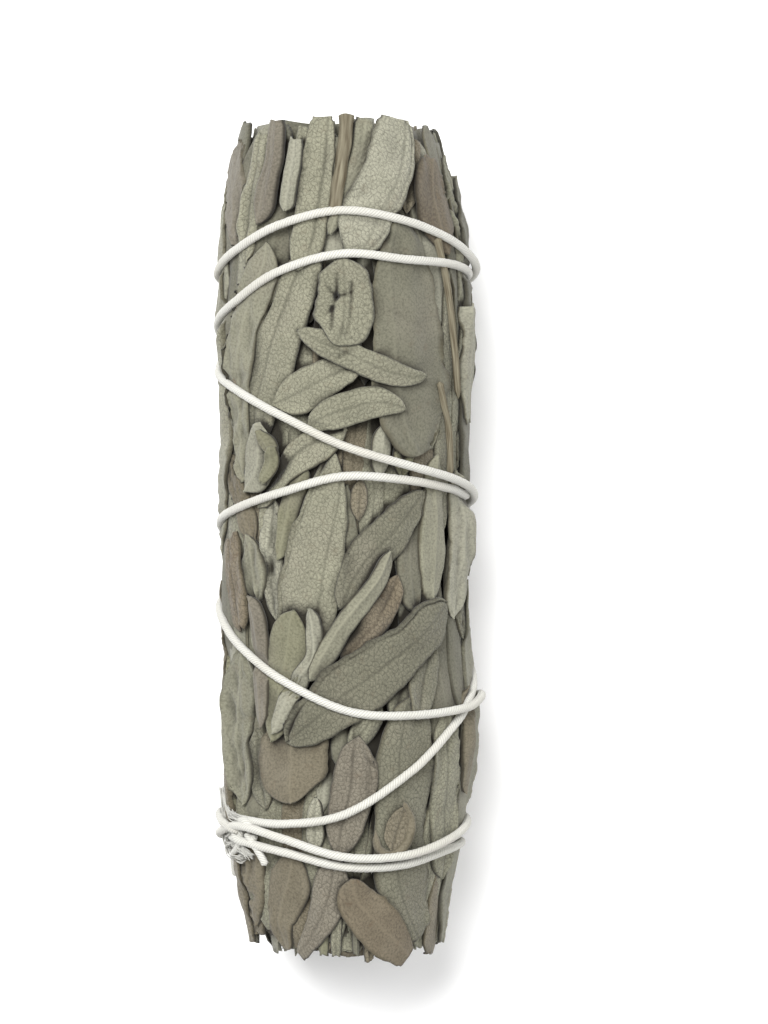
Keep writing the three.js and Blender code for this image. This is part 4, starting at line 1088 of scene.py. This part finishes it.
def leaf_material(tone, side):
    """Dried sage: a mottled colour, a net of veins or a felt, and painted shade in crevices and along the
    rolled-under edges.
    """
    nodes = Nodes(f"sage_{tone}_{side}", 0.9)
    net = side == "net"
    dark, light = [np.array(colour) * (1 if net else FELT_SHADE) for colour in TONES[tone]]
    place = nodes.place()
    mood, edge, depth = nodes.shade()[:3]
    split = nodes.add("ShaderNodeSeparateXYZ", {0: place}).outputs
    middle = nodes.apart(split[0], VEIN_AT / UV_SCALE)
    ribs = rib_lines(nodes, middle, split[1])
    bent = warped(nodes, place)
    cells = nodes.cells(bent, 17.0)
    grain = nodes.noise(place, 34.0, 3.0)
    patches = nodes.ramp(nodes.noise(place, 2.4, 5.0), 0.3, 0.7, -0.15, 0.55)
    brown_spots = 0.8 if tone == "brown" else 0.25
    worn = nodes.math("MULTIPLY", nodes.ramp(edge, 0.86, 1.05), nodes.ramp(mood, 0.3, 0.9, 0, 0.4))
    # Painted shade: darker along the rolled-under edges and in crevices, grooves and the cut ends
    shadow = nodes.math("MAXIMUM", nodes.ramp(edge, 0.84, 1.04, 0.0, 0.85),
                        nodes.ramp(depth, 0.04, 0.7, 0.0, 0.97))
    layers = [
        (nodes.math("MULTIPLY_ADD", mood, 0.6, patches), scaled(light, 1)),
        (nodes.ramp(nodes.noise(place, 1.1, 2.0), 0.5, 0.75, 0, 0.4), scaled(TONES["pink"][1], 1)),
        (nodes.ramp(grain, 0.42, 0.7, 0.0, 0.4), scaled(light, 1.3)),
        (nodes.ramp(grain, 0.5, 0.3, 0.0, 0.45), scaled(dark, 0.6)),
        (nodes.ramp(cells, 0.0, 0.09, 0.78 if net else 0.25, 0.0), scaled(dark, 0.5)),
        (nodes.ramp(nodes.cells(bent, 41.0), 0.0, 0.12, 0.2 if net else 0.1, 0.0),
         scaled(dark, 0.55)),
        (nodes.math("MULTIPLY", ribs, 0.25 if net else 0.12), scaled(dark, 0.6)),
        (nodes.ramp(middle, 0.0, 0.03, 0.5, 0.0), scaled(dark, 0.6) if net else scaled(light, 1.15)),
        (nodes.ramp(nodes.noise(place, 5.5, 6.0), 0.6, 0.74, 0.0, brown_spots), DRY_SPOT),
        (worn, YELLOW_EDGE),
        (shadow, PAINTED_CREVICE_SHADE),
    ]
    colour = scaled(dark, 1)
    for share, tint in layers:
        colour = nodes.mix(share, colour, tint)
    nodes.colour(colour)

    dome = nodes.ramp(cells, 0.0, 0.28, 0.0, 0.8 if net else 0.25)
    height = nodes.math("MULTIPLY_ADD", nodes.noise(place, 60.0, 4.0), 0.6, dome)
    height = nodes.math("MULTIPLY_ADD", ribs, -0.4 if net else 0.2, height)
    nodes.bump(height, 0.5, 0.0001)
    nodes.sheen(0.1, 0.6)
    return nodes.material


def warped(nodes, place):
    """The place, bent a little so that straight lines become uneven."""
    bend = nodes.noise(place, 11.0, 3.0)
    shift = nodes.add("ShaderNodeCombineXYZ", {0: nodes.ramp(bend, 0, 1, -0.04, 0.04),
                                               1: nodes.ramp(bend, 0, 1, 0.04, -0.04)})
    return nodes.add("ShaderNodeVectorMath", {0: place, 1: shift.outputs[0]},
                     operation="ADD").outputs[0]


def rib_lines(nodes, middle, along):
    """Side veins that leave the middle vein at a slant, in a bow."""
    bow = nodes.math("POWER", nodes.math("MAXIMUM", middle, 0.0001), 0.8)
    slant = nodes.math("SUBTRACT", along, bow)
    phase = nodes.math("FRACT", nodes.math("MULTIPLY", slant, 3.1))
    return nodes.ramp(nodes.apart(phase, 0.5), 0.0, 0.08, 1.0, 0.0)


def stem_material():
    nodes = Nodes("dry_stem", 0.8)
    stretched = nodes.add("ShaderNodeMapping", {"Vector": nodes.place(), "Scale": (26.0, 2.0, 1.0)})
    grain = nodes.noise(stretched.outputs[0], 1.0, 5.0)
    depth = nodes.shade()[2]
    colour = nodes.mix(nodes.ramp(grain, 0.35, 0.65), (0.070, 0.056, 0.034, 1),
                       (0.190, 0.172, 0.120, 1))
    # Painted shade in crevices, by how deep the stem lies
    nodes.colour(nodes.mix(nodes.ramp(depth, 0.1, 0.85), colour, PAINTED_CREVICE_SHADE))
    nodes.bump(grain, 0.6, 0.00012)
    return nodes.material


def string_material():
    """Twisted cotton: fine slanted strands with painted shade in the grooves between them, a little
    soiled.
    """
    nodes = Nodes("twisted_cotton", 0.92)
    place = nodes.place()
    split = nodes.add("ShaderNodeSeparateXYZ", {0: place}).outputs
    strands = 6
    turn = strands * UV_SCALE / ROUND_SCALE / (2 * math.pi)
    phase = nodes.math("MULTIPLY_ADD", split[1], strands * UV_SCALE / PLY_TWIST,
                       nodes.math("MULTIPLY", split[0], turn))
    away = nodes.apart(nodes.math("FRACT", phase), 0.5)
    fibres = nodes.noise(place, 40.0, 4.0)
    soil = nodes.noise(place, 0.6, 3.0)
    # Painted shade: darker in the grooves between the strands
    colour = nodes.mix(nodes.ramp(away, 0.0, 0.16), (0.29, 0.278, 0.235, 1),
                       (0.52, 0.515, 0.475, 1))
    colour = nodes.mix(nodes.ramp(soil, 0.45, 0.75, 0.0, 0.5), colour, (0.36, 0.335, 0.27, 1))
    nodes.colour(colour)
    height = nodes.math("MULTIPLY_ADD", nodes.ramp(away, 0.0, 0.3), 0.8, fibres)
    nodes.bump(height, 0.6, 0.0001)
    nodes.sheen(0.2)
    return nodes.material


def floor_material():
    nodes = Nodes("pale_floor", 0.9)
    coordinates = nodes.add("ShaderNodeTexCoord").outputs["Object"]
    cloud = nodes.noise(coordinates, 3.0, 2.0)
    nodes.colour(nodes.mix(cloud, (0.93, 0.93, 0.93, 1), (0.95, 0.95, 0.95, 1)))
    return nodes.material


# The object

def press_string(relief):
    degrees, y, lift = string_places()
    path = string_point(degrees, y, lift)
    radius = np.hypot(path[:, 0] - axis_x(path[:, 1]), path[:, 2] - AXIS_HEIGHT)
    for angle, place, reach in zip(np.radians(degrees), y, radius):
        relief.press(angle % (2 * math.pi), place, reach)


def packed_pieces(relief, materials, stem):
    pieces = [core_piece(materials["brown", "felt"])]
    pieces += [lay_leaf(leaf, relief, materials) for leaf in under_leaves()]
    for end in (-1, 1):
        pieces += end_pieces(end, materials, stem)
    return pieces


def build_bunch():
    materials = {(tone, side): leaf_material(tone, side) for tone in TONES
                 for side in ("net", "felt")}
    stem, cotton = stem_material(), string_material()
    relief = Relief()
    press_string(relief)
    made = [("packed_fine", packed_pieces(relief, materials, stem), "packed_leaves")]
    low = [lay_leaf(leaf, relief, materials) for leaf in low_leaves()]
    made.append(("low_leaves_fine", low, None))
    for leaf in back_leaves() + front_leaves("middle") + front_leaves("top"):
        made.append((leaf.name + "_fine", [lay_leaf(leaf, relief, materials)], leaf.name))
    for i, flap in enumerate(CUT_FLAPS):
        leaf = Leaf("flap", "top", "olive", wrap_spine(flap), 450 + i, lift=(0.5, 0.1), fold=-0.3,
                    side="felt", torn=(0.3, 0.3))
        made.append((f"cut_flap_{i + 1}", [lay_leaf(leaf, relief, materials)], None))
    for i, (name, radius, seen) in enumerate(STEMS):
        made.append((name + "_fine", [stem_piece(seen, radius, i, stem)], name))
    blade = Leaf("blade", "top", "tan", wrap_spine(SCROLL_BLADE), 90, fold=-0.5, curl=(20, 20))
    rim = stem_piece(SCROLL, SCROLL_RADIUS, 9, materials["tan", "felt"], lift=0.45, taper=True)
    scroll = [lay_leaf(blade, relief, materials), rim]
    made.append(("scroll_leaf_fine", scroll, "scroll_leaf"))
    made.append(("cotton_string_fine", string_pieces(cotton), "cotton_string"))
    made.append(("string_fibres", fibre_pieces(cotton), None))
    relief.finish()
    for name, parts, node in made:
        make_object(name, parts, node, relief)


# Floor, light and camera

PHOTO_SCALE = 8.4  # photo pixels for each millimetre of the bundle
PHOTO_HEIGHT = 1024
PHOTO_AIM = (4.29, 3.04)  # the point of the bundle's plan at the middle of the photo
CAMERA_DISTANCE = 900
SENSOR_WIDTH = 36


def add_floor():
    bpy.ops.mesh.primitive_plane_add(size=4, location=(0, 0, 0))
    floor = bpy.context.object
    floor.name = "floor"
    floor.data.materials.append(floor_material())


def add_light(name, place, size, power):
    data = bpy.data.lights.new(name, "AREA")
    data.size = size
    data.energy = power
    lamp = bpy.data.objects.new(name, data)
    lamp.location = place
    lamp.rotation_euler = (-Vector(place)).to_track_quat("-Z", "Y").to_euler()
    bpy.context.scene.collection.objects.link(lamp)


def add_lights():
    add_light("key", (-0.22, 0.36, 0.85), 0.5, 14.0)
    add_light("fill", (0.4, -0.2, 0.85), 0.8, 4.5)
    world = bpy.data.worlds.new("studio")
    world.use_nodes = True
    background = world.node_tree.nodes["Background"].inputs
    background["Color"].default_value = (1, 1, 1, 1)
    background["Strength"].default_value = 0.45
    bpy.context.scene.world = world


def add_camera():
    data = bpy.data.cameras.new("photo")
    data.sensor_width = SENSOR_WIDTH
    data.lens = SENSOR_WIDTH * CAMERA_DISTANCE / (PHOTO_HEIGHT / PHOTO_SCALE)
    camera = bpy.data.objects.new("photo", data)
    x, y = PHOTO_AIM
    camera.location = (x / 1000, y / 1000, (CAMERA_DISTANCE + AXIS_HEIGHT) / 1000)
    bpy.context.scene.collection.objects.link(camera)
    bpy.context.scene.camera = camera


build_bunch()
add_floor()
add_lights()
add_camera()
bpy.context.scene.view_settings.view_transform = "Standard"
